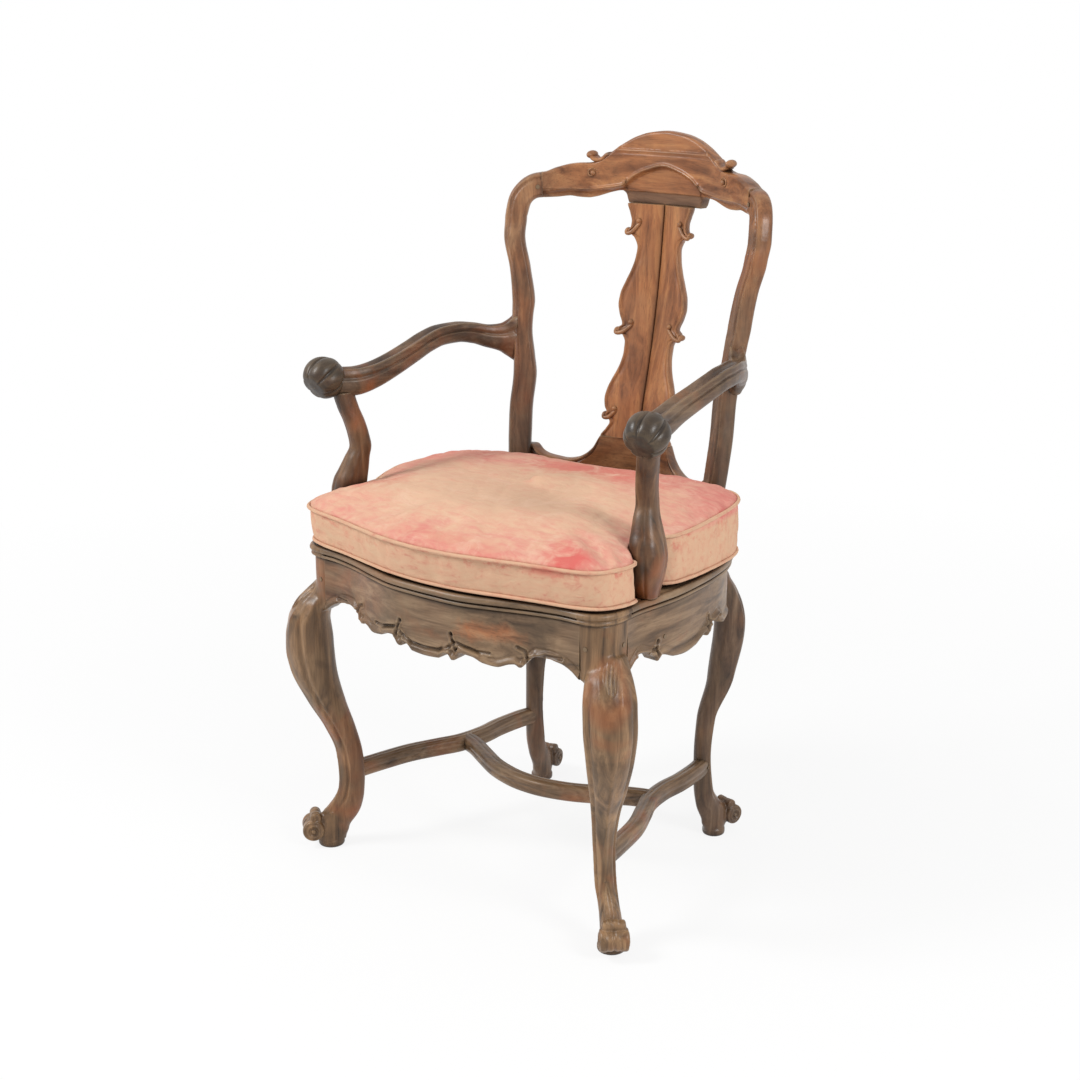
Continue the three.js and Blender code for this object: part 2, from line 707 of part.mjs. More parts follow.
// Directions of the crest at a width: along it, and back through it
function crestAxes(x) {
  const reach = crestThickness / 2;
  const along = point(2 * reach, backY(x + reach, crestBase) - backY(x - reach, crestBase), 0).normalize();
  return [along, point(-along.y, along.x, 0)];
}

function crestBody() {
  const rings = [];
  const t = crestThickness;
  for (let i = 0; i <= crestSteps; i += 1) {
    const x = crestHalfLength * ((2 * i) / crestSteps - 1);
    const rows = follow(crestShares, Math.abs(x) / crestHalfLength);
    const [low, high, bead] = rows.map((s) => crestBase + crestHeight * s);
    const back = crestAxes(x)[1];
    const section = [
      [crestBead, low], [crestBead, bead - 2 * crestBead], [crestBead / 2, bead - crestBead],
      [-crestBead, bead - crestBead / 2], [-crestBead, bead + crestBead / 2], [0, bead + crestBead],
      [0, high - t / 4], [t / 4, high], [t - crestBead, high], [t, high - crestBead], [t, low + crestBead],
      [t - crestBead, low],
    ];
    rings.push(section.map(([d, z]) => point(x, backY(x, z), z).addScaledVector(back, d)));
  }
  return toSolid(bodyFromRings(rings));
}

// Small rolled ears at the feet of the arch, and the volutes under them
function crestEar() {
  const ear = earShares.map(([sx, sz, size, lean]) => {
    const x = sx * crestHalfLength;
    const z = crestBase + sz * crestHeight;
    const across = point(Math.cos(rad(lean)), 0, Math.sin(rad(lean)));
    const centre = point(x, backY(x, z) + crestThickness / 2, z);
    const section = oval(earHalf * size, crestThickness / 2, postSquareness, roundSides);
    return station(centre, across, upright, section);
  });
  const x = crestVoluteShares[0] * crestHalfLength;
  const z = crestBase + crestVoluteShares[1] * crestHeight;
  const y = backY(x, z);
  const knob = bar(volute, point(x, y - crestBead, z), point(x, y + crestBead, z));
  return join(toSolid(bodyFromRings(ear)), knob);
}

const splatBottom = seatTop + lowRailLift + lowRailHeight + gap;
const splatTop = crestBase - gap;
const splatFace = (x, z) => (
  backY(0, z) + splatSet - splatDish * (Math.abs(x) / splatHalfWidth) ** splatDishPower
);

function splatBody() {
  const height = splatTop - splatBottom;
  const g = splatGroove;
  const t = splatThickness;
  const rings = [];
  for (let i = 0; i <= splatSteps; i += 1) {
    const share = i / splatSteps;
    const z = splatBottom + height * share;
    const w = splatHalfWidth * follow(splatShares, share)[0];
    const right = [[0, g], [g, 0], [w * splatInnerShare, 0], [w - g, 0], [w, g], [w, t - g], [w - g, t]];
    const left = right.slice(1).reverse().map(([x, d]) => [-x, d]);
    const section = right.concat([[0, t]], left);
    rings.push(section.map(([x, d]) => point(x, splatFace(x, z) + d, z)));
  }
  const volutes = splatVoluteShares.map(([sx, sz]) => {
    const x = sx * splatHalfWidth;
    const z = splatBottom + sz * height;
    const y = splatFace(x, z);
    return bothSides(bar(volute, point(x, y - crestBead, z), point(x, y + crestBead, z)));
  });
  return join(toSolid(bodyFromRings(rings)), ...volutes);
}

// Tenon of the splat about the end that stands at a height
function splatTenon(z, grow = 0) {
  const size = point(
    splatTenonWidth + 2 * grow, splatTenonThickness + 2 * grow, 2 * (splatTenonLength + grow),
  );
  return block(size, point(0, backY(0, z) + splatTenonSet + splatTenonThickness / 2, z));
}

function lowRailBody() {
  const low = seatTop + lowRailLift;
  const t = lowRailThickness;
  const round = mouldRound;
  const rings = [];
  for (let i = 0; i <= lowRailSteps; i += 1) {
    const x = lowRailHalfLength * ((2 * i) / lowRailSteps - 1);
    const high = low + lowRailHeight * follow(lowRailShares, Math.abs(x) / lowRailHalfLength)[0];
    const y = backY(x, low + lowRailHeight) + lowRailSet;
    const section = [
      [0, low + round], [0, high - round], [round, high], [t - round, high], [t, high - round],
      [t, low + round], [t - round, low], [round, low],
    ];
    rings.push(section.map(([d, z]) => point(x, y + d, z)));
  }
  return toSolid(bodyFromRings(rings));
}

function lowRailTenon(grow = 0) {
  const x = lowRailHalfLength * lowTenonShares[0];
  const z = seatTop + lowRailLift + lowRailHeight * lowTenonShares[1];
  const top = seatTop + lowRailLift + lowRailHeight;
  const t = lowRailThickness;
  const turn = Math.atan2(backY(x + t, top) - backY(x - t, top), 2 * t);
  const centre = point(x, backY(x, top) + lowRailSet + t / 2, z);
  return block(
    point(2 * (lowTenonLength + grow), lowTenonThickness + 2 * grow, lowTenonHeight + 2 * grow), centre, turn,
  );
}

// Arm: a sweep along its centre line
function armPoint(share) {
  const [x, z] = follow(armShares, share);
  return plan(x, share, z * armHeight);
}

function armBody(grow = 0) {
  const first = armShares[0][0];
  const last = armShares[armShares.length - 1][0];
  const step = (last - first) / armSteps;
  const rings = [];
  for (let i = 0; i <= armSteps; i += 1) {
    const share = first + step * i;
    const [, , wide, high] = follow(armShares, share);
    const along = armPoint(share + step / 2).sub(armPoint(share - step / 2)).normalize();
    const across = along.clone().cross(upward).normalize();
    const up = across.clone().cross(along).normalize();
    const section = oval(armHalfWidth * wide + grow, armHalfHeight * high + grow, armSquareness, armSides);
    rings.push(station(armPoint(share), across, up, section));
  }
  return toSolid(bodyFromRings(rings));
}

// Knuckle at the front of an arm: a ball with shallow flutes running front to back
function knuckle(grow = 0) {
  const centre = plan(knuckleShares[0], knuckleShares[1], armHeight);
  const radius = knuckleRadius + grow;
  const rings = [];
  for (let i = 1; i < knuckleRows; i += 1) {
    const lift = Math.PI * (i / knuckleRows - 1 / 2);
    const ring = [];
    for (let j = 0; j < knuckleSides; j += 1) {
      const turn = (2 * Math.PI * j) / knuckleSides;
      const r = radius * Math.cos(lift) * (1 - (j % 2) * knuckleFluteShare);
      ring.push(centre.clone().add(point(r * Math.cos(turn), radius * Math.sin(lift), r * Math.sin(turn))));
    }
    rings.push(ring);
  }
  return toSolid(bodyFromRings(rings));
}

const fullArm = (grow = 0) => join(armBody(grow), knuckle(grow));

// Tenon from an arm into the middle of its stile
function armTenon(grow = 0) {
  const from = armPoint(armTenonShare);
  const to = stileCentre((from.z - seatTop) / (overallHeight - seatTop)).setZ(from.z);
  return longBar(armTenonRadius, from, to, grow);
}

function armPostBody(grow = 0) {
  const last = armPostShares[armPostShares.length - 1][0];
  const rings = [];
  for (let i = 0; i <= armPostSteps; i += 1) {
    const share = (last * i) / armPostSteps;
    const [x, y, size] = follow(armPostShares, share);
    const centre = plan(x, y, seatTop + gap + share * (armHeight - seatTop));
    const half = armPostHalf * size;
    const section = oval(half * armPostSlimShare + grow, half + grow, armSquareness, armSides);
    rings.push(station(centre, point(1, 0, 0), upright, section));
  }
  return toSolid(bodyFromRings(rings));
}

// Straight way past an arm post for the cushion: the widest section, carried down to the rail
function postWay() {
  const [share, x, y, size] = armPostShares.reduce((a, b) => (b[3] > a[3] ? b : a));
  const half = armPostHalf * size;
  const section = oval(half * armPostSlimShare + cushionClear, half + cushionClear, armSquareness, armSides);
  const rings = [0, share].map((at) => station(
    plan(x, y, seatTop + at * (armHeight - seatTop)), point(1, 0, 0), upright, section,
  ));
  return join(armPostBody(cushionClear), toSolid(bodyFromRings(rings)));
}

// Tenons of an arm post: down into the side rail and up into the arm
function postTenons(grow = 0) {
  const foot = (z) => plan(postFootShares[0], postFootShares[1], z);
  const top = (z) => plan(postTopShares[0], postTopShares[1], z);
  return join(
    longBar(postTenonRadius, foot(seatTop - postTenonLength), foot(seatTop + postTenonLength), grow),
    longBar(postTenonRadius, top(armHeight - 2 * postTenonLength), top(armHeight - armHalfHeight / 2), grow),
  );
}

const frontStretcherCentre = legCentre(frontLegKind, stretcherHeight / frontLegHeight);
const rearStretcherCentre = legCentre(rearLegKind, stretcherHeight / rearLegHeight);

function stretcherBody(curve, steps, grow = 0) {
  const rings = [];
  const section = oval(stretcherHalfWidth + grow, stretcherHalfHeight + grow, postSquareness, armSides);
  for (let i = 0; i <= steps; i += 1) {
    const along = curve.getTangent(i / steps).setZ(0).normalize();
    const across = point(along.y, -along.x, 0);
    rings.push(station(curve.getPoint(i / steps), across, upward, section));
  }
  return toSolid(bodyFromRings(rings));
}

const atStretcher = ([x, y]) => plan(x, y, stretcherHeight);
const sideCurve = new THREE.CatmullRomCurve3(
  [frontStretcherCentre, ...sideRoute.map(atStretcher), rearStretcherCentre],
);
const crossStart = sideCurve.getPoint(crossMeetShare);
const crossHalf = [crossStart, ...crossRoute.map(atStretcher)];
const crossCurve = new THREE.CatmullRomCurve3(
  crossHalf.concat(crossHalf.slice(0, -1).reverse().map((p) => point(-p.x, p.y, p.z))),
);

// Round tenon that runs from the start of a curve some way along it
function curveTenon(curve, atShare, reach, grow = 0) {
  const from = curve.getPoint(atShare);
  const toward = curve.getPoint(atShare + Math.sign(reach) * tenonAimShare).sub(from).normalize();
  const start = from.clone().addScaledVector(toward, -stretcherTenonLength / 2);
  return longBar(stretcherTenonRadius, start, from.clone().addScaledVector(toward, Math.abs(reach)), grow);
}

const sideTenons = (grow = 0) => join(
  curveTenon(sideCurve, 0, frontKneeHalf, grow), curveTenon(sideCurve, 1, -frontKneeHalf, grow),
);
const crossTenon = (grow = 0) => curveTenon(crossCurve, 0, frontKneeHalf, grow);

// Plan outline of the cushion from a table of shares
function cushionOutline(table) {
  const curve = new THREE.SplineCurve(table.map(([x, y]) => {
    const p = plan(x, y);
    return new THREE.Vector2(p.x, p.y);
  }));
  const half = [];
  for (let i = 0; i <= cushionSteps; i += 1) half.push(curve.getPoint(i / cushionSteps));
  return half.concat(half.slice(1, -1).reverse().map((p) => new THREE.Vector2(-p.x, p.y)));
}

function cushionBody() {
  const notched = cushionOutline(cushionShares);
  const smooth = cushionOutline(crownShares);
  const low = seatTop + gap;
  const border = cushionBottomSeam + cushionBorder;
  const ease = (value, [from, to]) => THREE.MathUtils.smoothstep(value, from, to);
  const depthShare = (y) => (y - seatFrontY) / seatDepth;
  const side = cushionSideShares.map(([size, wall]) => [size, wall, 0, 0]);
  const top = cushionTopShares.map(([size, crown, blend]) => [size, 1, crown, blend]);
  const rings = side.concat(top).map(([size, wall, crown, blend]) => notched.map((p, i) => {
    const at = p.clone().lerp(smooth[i], blend);
    const frontness = Math.max(0, at.y / seatFrontY) ** 2;
    const lean = cushionOverhang * frontness * wall;
    const raised = cushionRise * ease(depthShare(at.y), cushionRiseShares);
    const swell = cushionSwell * ease(depthShare(at.y), cushionSwellShares[0])
      * ease(at.x / seatHalfWidth, cushionSwellShares[1]);
    const z = low + wall * (border + raised + swell) + crown * (cushionCrown - raised);
    return point(at.x * size, (at.y - lean) * size, z);
  }));
  return toSolid(bodyFromRings(rings));
}

// Caned seat: a thin sheet in the rebate of the rails
function canePanel() {
  const inner = railThickness - rebateWidth + caneMargin;
  const half = stations().filter((p, i, all) => i % 2 === 0 || i === all.length - 1).map((place) => {
    const { edge, inward } = edgeAt(place);
    return new THREE.Vector2(edge.x + inward.x * inner, edge.y + inward.y * inner);
  });
  const whole = half.concat(half.slice(1, -1).reverse().map((p) => new THREE.Vector2(-p.x, p.y)));
  const shape = new THREE.Shape(whole);
  const geometry = new THREE.ExtrudeGeometry(shape, { depth: caneThickness, bevelEnabled: false });
  geometry.translate(0, 0, seatTop - rebateDepth + gap);
  return toSolid(geometry);
}

// Corner posts: a prism at each corner of the seat, grown by the gap where it cuts the rails
const postBand = 2 * (seatTop + mouldHeight);
const frontPostX = seatHalfWidth - frontPostWidth;
const frontPostY = seatFrontY + frontPostLength;
const rearPost = plan(rearPostShares[0], rearPostShares[1]);
const rearTurn = rad(-stileTurn);

function frontPrism(grow) {
  const reach = seatHalfWidth;
  const size = point(reach + 2 * grow, reach + 2 * grow, postBand);
  return block(size, point(frontPostX + reach / 2, frontPostY - reach / 2, 0));
}

const rearPrism = (grow) => block(
  point(rearPostWidth + 2 * grow, 2 * frontPostLength, postBand), rearPost, rearTurn,
);

// Solid wood inside each corner, under the cane
function cornerStock(size, centre, turn) {
  const top = seatTop - rebateDepth;
  const low = seatTop - apronDrop * stockDropShare;
  return block(point(size.x, size.y, top - low), centre.clone().setZ((top + low) / 2), turn);
}

// Where each rail meets a post: the tenon's middle and its turn about Z
const railTenonZ = seatTop - apronDrop / 2;
const middleOfRail = (railThickness + apronInset) / 2;
const atX = placeAt((p) => p.x, frontPostX, 0, frontRows);
const atY = placeAt((p) => p.y, frontPostY, frontRows - 1, outlineRows);
const acrossPost = (p) => (p.x - rearPost.x) * stileFace.x + (p.y - rearPost.y) * stileFace.y;
const atSide = placeAt(acrossPost, rearPostWidth / 2, sideRows, outlineRows);
const atBack = placeAt(acrossPost, -rearPostWidth / 2, sideRows, outlineRows);

function railTenon(place, turn, grow = 0) {
  const { edge, inward } = edgeAt(place);
  const centre = edge.addScaledVector(inward, middleOfRail).setZ(railTenonZ);
  const size = point(
    2 * (railTenonLength + grow), railTenonThickness + 2 * grow, railTenonHeight + 2 * grow,
  );
  return block(size, centre, turn);
}

const tenonsOfFront = (grow) => railTenon(atX, 0, grow);
const tenonsOfSide = (grow) => join(railTenon(atY, Math.PI / 2, grow), railTenon(atSide, rearTurn, grow));
const tenonsOfBack = (grow) => railTenon(atBack, rearTurn, grow);

// Crest tenon and the plane where the crest meets the stile's shoulder
const crestEndAxes = crestAxes(crestHalfLength);
const crestTurn = Math.atan2(crestEndAxes[0].y, crestEndAxes[0].x);
const crestTenonCentre = point(crestHalfLength, backY(crestHalfLength, crestBase), 0)
  .addScaledVector(crestEndAxes[1], crestThickness / 2).setZ(crestBase + crestHeight * crestTenonShare);

const crestTenon = (grow) => block(
  point(2 * (crestTenonLength + grow), crestTenonThickness + 2 * grow, crestTenonHeight + 2 * grow),
  crestTenonCentre, crestTurn,
);
const crestSide = () => block(
  point(crestHalfLength, 2 * crestHalfLength, 2 * (crestHeight + stileHalfWidth)),
  crestTenonCentre.clone().addScaledVector(crestEndAxes[0], gap - crestHalfLength / 2).setZ(overallHeight),
  crestTurn,
);

// Pegs: start outside the face, run inward; holes are longer by the head so that they stay open
function railPeg(measure, value, fromRow, lift, grow = 0) {
  const { edge, inward } = edgeAt(placeAt(measure, value, fromRow, outlineRows));
  const face = edge.addScaledVector(inward, apronInset).setZ(railTenonZ + lift);
  return pegBar(face, inward, railPegLength, grow);
}

function pegBar(face, inward, length, grow) {
  const from = face.clone().addScaledVector(inward, -pegHead * (grow > 0 ? holeShare : 1));
  return longBar(pegRadius, from, face.clone().addScaledVector(inward, length), grow);
}

const frontPeg = (grow) => {
  const { edge, inward } = edgeAt(placeAt((p) => p.x, frontPostX + railTenonLength / 2, 0, frontRows));
  return pegBar(edge.addScaledVector(inward, apronInset).setZ(railTenonZ), inward, railPegLength, grow);
};
const sidePeg = (grow) => railPeg((p) => p.y, frontPostY - railTenonLength / 2, frontRows - 1, 0, grow);
const pegShift = (rearPostWidth - railTenonLength) / 2;
const middlePeg = (grow) => railPeg(
  (p) => p.y, seatFrontY + seatDepth * middlePegShare, frontRows - 1, -middlePegDrop, grow,
);
const sideRearPeg = (grow) => railPeg(acrossPost, pegShift, sideRows, rearPegLift, grow);
const backPeg = (grow) => railPeg(acrossPost, -pegShift, sideRows, rearPegLift, grow);
const crestPeg = (grow) => {
  const [along, back] = crestEndAxes;
  const face = crestTenonCentre.clone().addScaledVector(along, crestTenonLength / 2)
    .addScaledVector(back, -stileDepth / 2);
  return pegBar(face, back, crestPegLength, grow);
};

// Peg through a leg into the stretcher's tenon, from the outer side
function stretcherPeg(centre, curveShare, faceReach, grow) {
  const toward = sideCurve.getPoint(curveShare).sub(centre).setZ(0).normalize();
  const side = toward.y > 0 ? 1 : -1;
  const inward = point(-toward.y * side, toward.x * side, 0);
  const face = centre.clone().addScaledVector(toward, stretcherHalfWidth / 2)
    .addScaledVector(inward, -faceReach);
  return pegBar(face, inward, stretcherPegLength, grow);
}
const frontStretcherPeg = (grow) => stretcherPeg(frontStretcherCentre, tenonAimShare, frontPegFace, grow);
const rearStretcherPeg = (grow) => stretcherPeg(rearStretcherCentre, 1 - tenonAimShare, rearPegFace, grow);

// Rails: the ring without the corners and the upper ends of the legs
const ring = seatRing();
const legs = (grow) => join(cabrioleLeg(frontLegKind, grow), cabrioleLeg(rearLegKind, grow));
const railPieces = cut(
  ring, bothSides(frontPrism(gap)), bothSides(rearPrism(gap)), bothSides(legs(gap)),
).decompose();
const railWhere = (test) => railPieces.find((solid) => {
  const box = solid.boundingBox();
  return test(box.min, box.max);
});
const frontRailBare = railWhere((min, max) => max[1] < 0);
const backRailBare = railWhere((min) => min[1] > 0);
const sideRailBare = railWhere((min, max) => min[0] > 0 && max[0] > seatHalfWidth / 2 && min[1] < 0);

function frontLeg() {
  const stockSize = point(frontStockWidth, frontStockDepth, 0);
  const stockCentre = point(frontPostX + frontStockWidth / 2, frontPostY - frontStockDepth / 2, 0);
  const wood = join(
    ring.intersect(frontPrism(0)), cornerStock(stockSize, stockCentre, 0), cabrioleLeg(frontLegKind),
    scrollFoot(frontLegKind),
  );
  return cut(
    wood, tenonsOfFront(gap), railTenon(atY, Math.PI / 2, gap), curveTenon(sideCurve, 0, frontKneeHalf, gap),
    frontPeg(gap), sidePeg(gap), frontStretcherPeg(gap),
  );
}

function rearPostAndStile() {
  const stockSize = point(rearPostWidth, rearPostDepth, 0);
  const stockCentre = rearPost.clone().addScaledVector(stileBack, -rearStockSet);
  const wood = join(
    ring.intersect(rearPrism(0)), cornerStock(stockSize, stockCentre, rearTurn), cabrioleLeg(rearLegKind),
    scrollFoot(rearLegKind), cut(stile(), crestSide()),
  );
  return cut(
    wood, railTenon(atSide, rearTurn, gap), tenonsOfBack(gap), curveTenon(sideCurve, 1, -frontKneeHalf, gap),
    crestTenon(gap), lowRailTenon(gap), armTenon(gap), sideRearPeg(gap), backPeg(gap), crestPeg(gap),
    rearStretcherPeg(gap),
  );
}

const frontRail = () => cut(join(frontRailBare, bothSides(tenonsOfFront(0))), bothSides(frontPeg(gap)));
const backRail = () => cut(join(backRailBare, bothSides(tenonsOfBack(0))), bothSides(backPeg(gap)));
const sideRail = () => cut(
  join(sideRailBare, tenonsOfSide(0)), sidePeg(gap), middlePeg(gap), sideRearPeg(gap),
  postTenons(gap),
);
const crestRail = () => cut(
  join(crestBody(), bothSides(crestEar()), bothSides(crestTenon(0))),
  splatTenon(splatTop, gap), bothSides(crestPeg(gap)),
);
const splat = () => join(splatBody(), splatTenon(splatTop), splatTenon(splatBottom));
const lowBackRail = () => cut(
  join(cut(lowRailBody(), bothSides(stile(gap))), bothSides(lowRailTenon())), splatTenon(splatBottom, gap),
);
const arm = () => cut(join(cut(fullArm(), stile(gap)), armTenon()), postTenons(gap));
const armPost = () => join(cut(armPostBody(), fullArm(gap)), postTenons());
const sideStretcher = () => cut(
  join(cut(stretcherBody(sideCurve, sideSteps), legs(gap)), sideTenons()),
  frontStretcherPeg(gap), rearStretcherPeg(gap), crossTenon(gap),
);
const crossStretcher = () => join(
  cut(stretcherBody(crossCurve, crossSteps), bothSides(stretcherBody(sideCurve, sideSteps, gap))),
  bothSides(crossTenon()),
);
const cushion = () => cut(
  cushionBody(), bothSides(postWay()), bothSides(stile(cushionClear)),
);
const caneSeat = () => cut(canePanel(), bothSides(stile(gap)));

const chair = new THREE.Group();

function place(name, solid, finish) {
  const mesh = new THREE.Mesh(toGeometry(solid), new THREE.MeshStandardMaterial(finish));
  mesh.name = name;
  chair.add(mesh);
}

function placePair(name, solid, finish) {
  const clean = solid.simplify(sliver);
  place(`${name}_right`, clean, finish);
  place(`${name}_left`, mirrored(clean), finish);
}

placePair('front_leg', frontLeg(), walnut);
placePair('rear_post', rearPostAndStile(), walnut);
place('front_rail', frontRail().simplify(sliver), walnut);
placePair('side_rail', sideRail(), walnut);
place('back_rail', backRail().simplify(sliver), walnut);
place('crest_rail', crestRail().simplify(sliver), warmWalnut);
place('splat', splat().simplify(sliver), warmWalnut);
place('low_back_rail', lowBackRail().simplify(sliver), warmWalnut);
placePair('arm', arm(), walnut);
placePair('arm_post', armPost(), walnut);
placePair('stretcher', sideStretcher(), walnut);
place('cross_stretcher', crossStretcher().simplify(sliver), walnut);
place('cane_seat', caneSeat(), cane);
place('cushion', cushion(), velvet);
placePair('peg_front_rail', frontPeg(0), pegWood);
placePair('peg_side_rail_front', sidePeg(0), pegWood);
placePair('peg_side_rail_middle', middlePeg(0), pegWood);
placePair('peg_side_rail_rear', sideRearPeg(0), pegWood);
placePair('peg_back_rail', backPeg(0), pegWood);
placePair('peg_crest', crestPeg(0), pegWood);
placePair('peg_stretcher_front', frontStretcherPeg(0), pegWood);
placePair('peg_stretcher_rear', rearStretcherPeg(0), pegWood);

// Origin on the floor under the middle of the whole box
const middleOfBox = new THREE.Box3().setFromObject(chair).getCenter(new THREE.Vector3());
chair.children.forEach((mesh) => mesh.geometry.translate(0, -middleOfBox.y, 0));

export default chair;
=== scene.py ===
import math
import bpy
import bmesh
from mathutils import Matrix, Vector, noise


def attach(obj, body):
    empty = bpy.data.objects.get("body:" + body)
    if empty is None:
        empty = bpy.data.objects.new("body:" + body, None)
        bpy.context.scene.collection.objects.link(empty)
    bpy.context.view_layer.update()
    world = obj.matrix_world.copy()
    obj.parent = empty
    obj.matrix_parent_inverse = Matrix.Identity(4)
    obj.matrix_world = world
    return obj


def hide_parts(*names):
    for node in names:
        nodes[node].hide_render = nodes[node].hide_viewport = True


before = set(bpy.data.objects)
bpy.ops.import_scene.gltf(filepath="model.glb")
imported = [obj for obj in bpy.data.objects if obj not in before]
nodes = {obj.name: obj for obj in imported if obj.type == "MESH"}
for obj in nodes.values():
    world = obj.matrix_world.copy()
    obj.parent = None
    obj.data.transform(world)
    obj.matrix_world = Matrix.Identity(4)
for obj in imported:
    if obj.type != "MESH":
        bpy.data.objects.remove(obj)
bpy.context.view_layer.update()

# Camera, found from the photograph
camera_place = Vector((1.6514, -2.09105, 1.2798))
camera_turn = 38.61
camera_pitch = 16.52
camera_lens = 63.276
sensor_width = 36

# Seat frame
back_shift = -0.05065
seat_top = 0.49
seat_half_width = 0.283
seat_depth = 0.466
seat_front = -seat_depth / 2 + back_shift
rail_thickness = 0.034
apron_drop = 0.102
apron_inset = 0.008
mould_height = 0.013
rebate_width = 0.009
rebate_depth = 0.004
front_post_x = 0.233
front_post_y = seat_front + 0.109
rear_post_width = 0.05
stile_turn = 33

# Back
overall_height = 1.06
stile_depth = 0.027
stile_half_width = 0.0165
back_spread = 0.23
lower_sag = 0.098
lower_sag_power = 1.3
crest_sag = 0.09702
crest_sag_power = 2.5
crest_thickness = 0.024
crest_half_length = 0.18599
crest_height = 0.11
crest_base = overall_height - crest_height
crest_bead = 0.0035
splat_half_width = 0.0625
splat_thickness = 0.014
splat_set = 0.004
splat_dish = 0.016
splat_dish_power = 0.7
low_rail_lift = 0.038
low_rail_height = 0.072
low_rail_half_length = 0.17999
low_rail_thickness = 0.019
low_rail_set = 0.0025

# Arms and stretchers
arm_height = 0.721
arm_half_width = 0.0155
arm_half_height = 0.0155
knuckle_radius = 0.0305
arm_post_half = 0.02
stretcher_height = 0.122
stretcher_half_width = 0.0123
stretcher_half_height = 0.013

# Cushion
cushion_low = seat_top + 0.0003
cushion_border = 0.057
bottom_seam = 0.006
cushion_crown = 0.031
cushion_rise = 0.014
cushion_swell = 0.012
cushion_lift = 0.1
cushion_overhang = 0.016
welt_radius = 0.0026

gap = 0.0003

outline_shares = [
    (0, 0), (0.21, 0.005), (0.39, 0.034), (0.56, 0.068), (0.72, 0.09), (0.87, 0.096), (0.945, 0.122),
    (0.982, 0.18), (0.978, 0.276), (0.993, 0.37), (1, 0.45), (0.992, 0.545), (0.97, 0.66), (0.925, 0.775),
    (0.83, 0.885), (0.665, 0.96), (0.45, 0.99), (0, 1),
]
front_apron_shares = [
    (0, 1), (0.09, 0.985), (0.14, 0.895), (0.165, 0.9), (0.192, 0.965), (0.21, 0.95), (0.245, 0.845),
    (0.32, 0.865), (0.385, 0.935), (0.455, 0.96), (0.525, 0.905), (0.555, 0.895), (0.582, 0.93),
    (0.625, 0.825), (0.67, 0.745), (0.74, 0.745), (0.8, 0.775), (0.87, 0.85), (0.93, 0.95), (1, 1.0),
]
side_apron_shares = [
    (0, 0.985), (0.2, 0.96), (0.42, 0.87), (0.46, 0.865), (0.51, 0.93), (0.56, 0.86), (0.66, 0.79),
    (0.78, 0.745), (0.88, 0.82), (1, 0.92),
]
front_leg_rows = [
    (0.02, 0, 0, 0.62, 0.52), (0.06, 0.02, 0, 0.8, 0.46), (0.105, -0.16, -0.1, 0.84, 0.43),
    (0.14, -0.36, -0.3, 0.72, 0.41), (0.2, -0.54, -0.7, 0.57, 0.4), (0.28, -0.6, -0.9, 0.52, 0.4),
    (0.36, -0.55, -1, 0.52, 0.44), (0.455, -0.335, -1, 0.6, 0.53), (0.555, -0.01, -0.9, 0.75, 0.7),
    (0.68, 0.3, -0.9, 0.92, 0.9), (0.785, 0.39, -1, 0.98, 1), (0.86, 0.4, -1.1, 0.9, 1),
    (0.93, 0.2, -1.1, 0.75, 0.9), (1, -0.1, -0.5, 0.5, 0.6),
]
rear_leg_rows = [
    (0.02, 0, 0, 0.75, 0.62), (0.055, 0.1, 0, 1.15, 0.56), (0.09, -0.05, 0, 1.15, 0.56),
    (0.125, -0.35, 0, 0.9, 0.57),
    (0.185, -0.6, 0, 0.64, 0.6), (0.311, -0.7, 0, 0.56, 0.55), (0.443, -0.58, -0.03, 0.6, 0.6),
    (0.592, -0.1, -0.32, 0.85, 0.85), (0.742, -0.12, -0.79, 0.98, 0.98), (0.814, -0.19, -0.94, 0.96, 1),
    (0.874, -0.34, -0.99, 0.9, 0.96), (0.932, -0.62, -1, 0.84, 0.9), (1, -1.02, -0.99, 0.8, 0.85),
]
stile_rows = [
    (-0.0877, 0.64, 0.8691, 0.95), (0, 0.626, 0.8884, 1), (0.0965, 0.616, 0.9099, 1.04),
    (0.193, 0.627, 0.926, 1.1), (0.2632, 0.634, 0.9378, 1.1), (0.3404, 0.629, 0.9528, 1.1),
    (0.3947, 0.64, 0.9582, 1), (0.4579, 0.661, 0.9657, 0.9), (0.5, 0.67, 0.9721, 0.98),
    (0.5439, 0.677, 0.9828, 1.06), (0.6298, 0.707, 0.9871, 0.97), (0.7105, 0.751, 0.9914, 0.98),
    (0.7632, 0.758, 1.0043, 1.02),
]
shoulder_rows = [
    (0.807, 0.747, 1.0172, 20, 1.06), (0.8316, 0.723, 1.0365, 42, 1.1), (0.8439, 0.689, 1.0558, 64, 1.17),
    (0.847, 0.65, 1.0755, 84, 1.2), (0.8477, 0.608, 1.0943, 88, 1.2),
]
rake_rows = [
    (0, 0.8863), (0.1526, 1.0665), (0.2719, 1.0871), (0.351, 1.1094), (0.4434, 1.1348), (0.5615, 1.1609),
    (0.661, 1.1775), (0.7447, 1.1884), (0.807, 1.1955), (1, 1.1953),
]
sag_change = (0.507, 0.795)
crest_rows = [
    (0, 0, 1, 0.53), (0.16, 0, 0.97, 0.465), (0.285, 0, 0.905, 0.37), (0.345, 0, 0.855, 0.29),
    (0.36, 0.1, 0.84, 0.27), (0.4, 0.165, 0.8, 0.225), (0.5, 0.13, 0.675, 0.195), (0.56, 0.095, 0.6, 0.18),
    (0.625, 0.06, 0.545, 0.165), (0.68, 0.045, 0.525, 0.155), (0.75, 0.05, 0.52, 0.16), (0.81, 0.065, 0.505, 0.165),
    (0.91, 0.045, 0.452, 0.14), (1, 0.04, 0.388, 0.13),
]
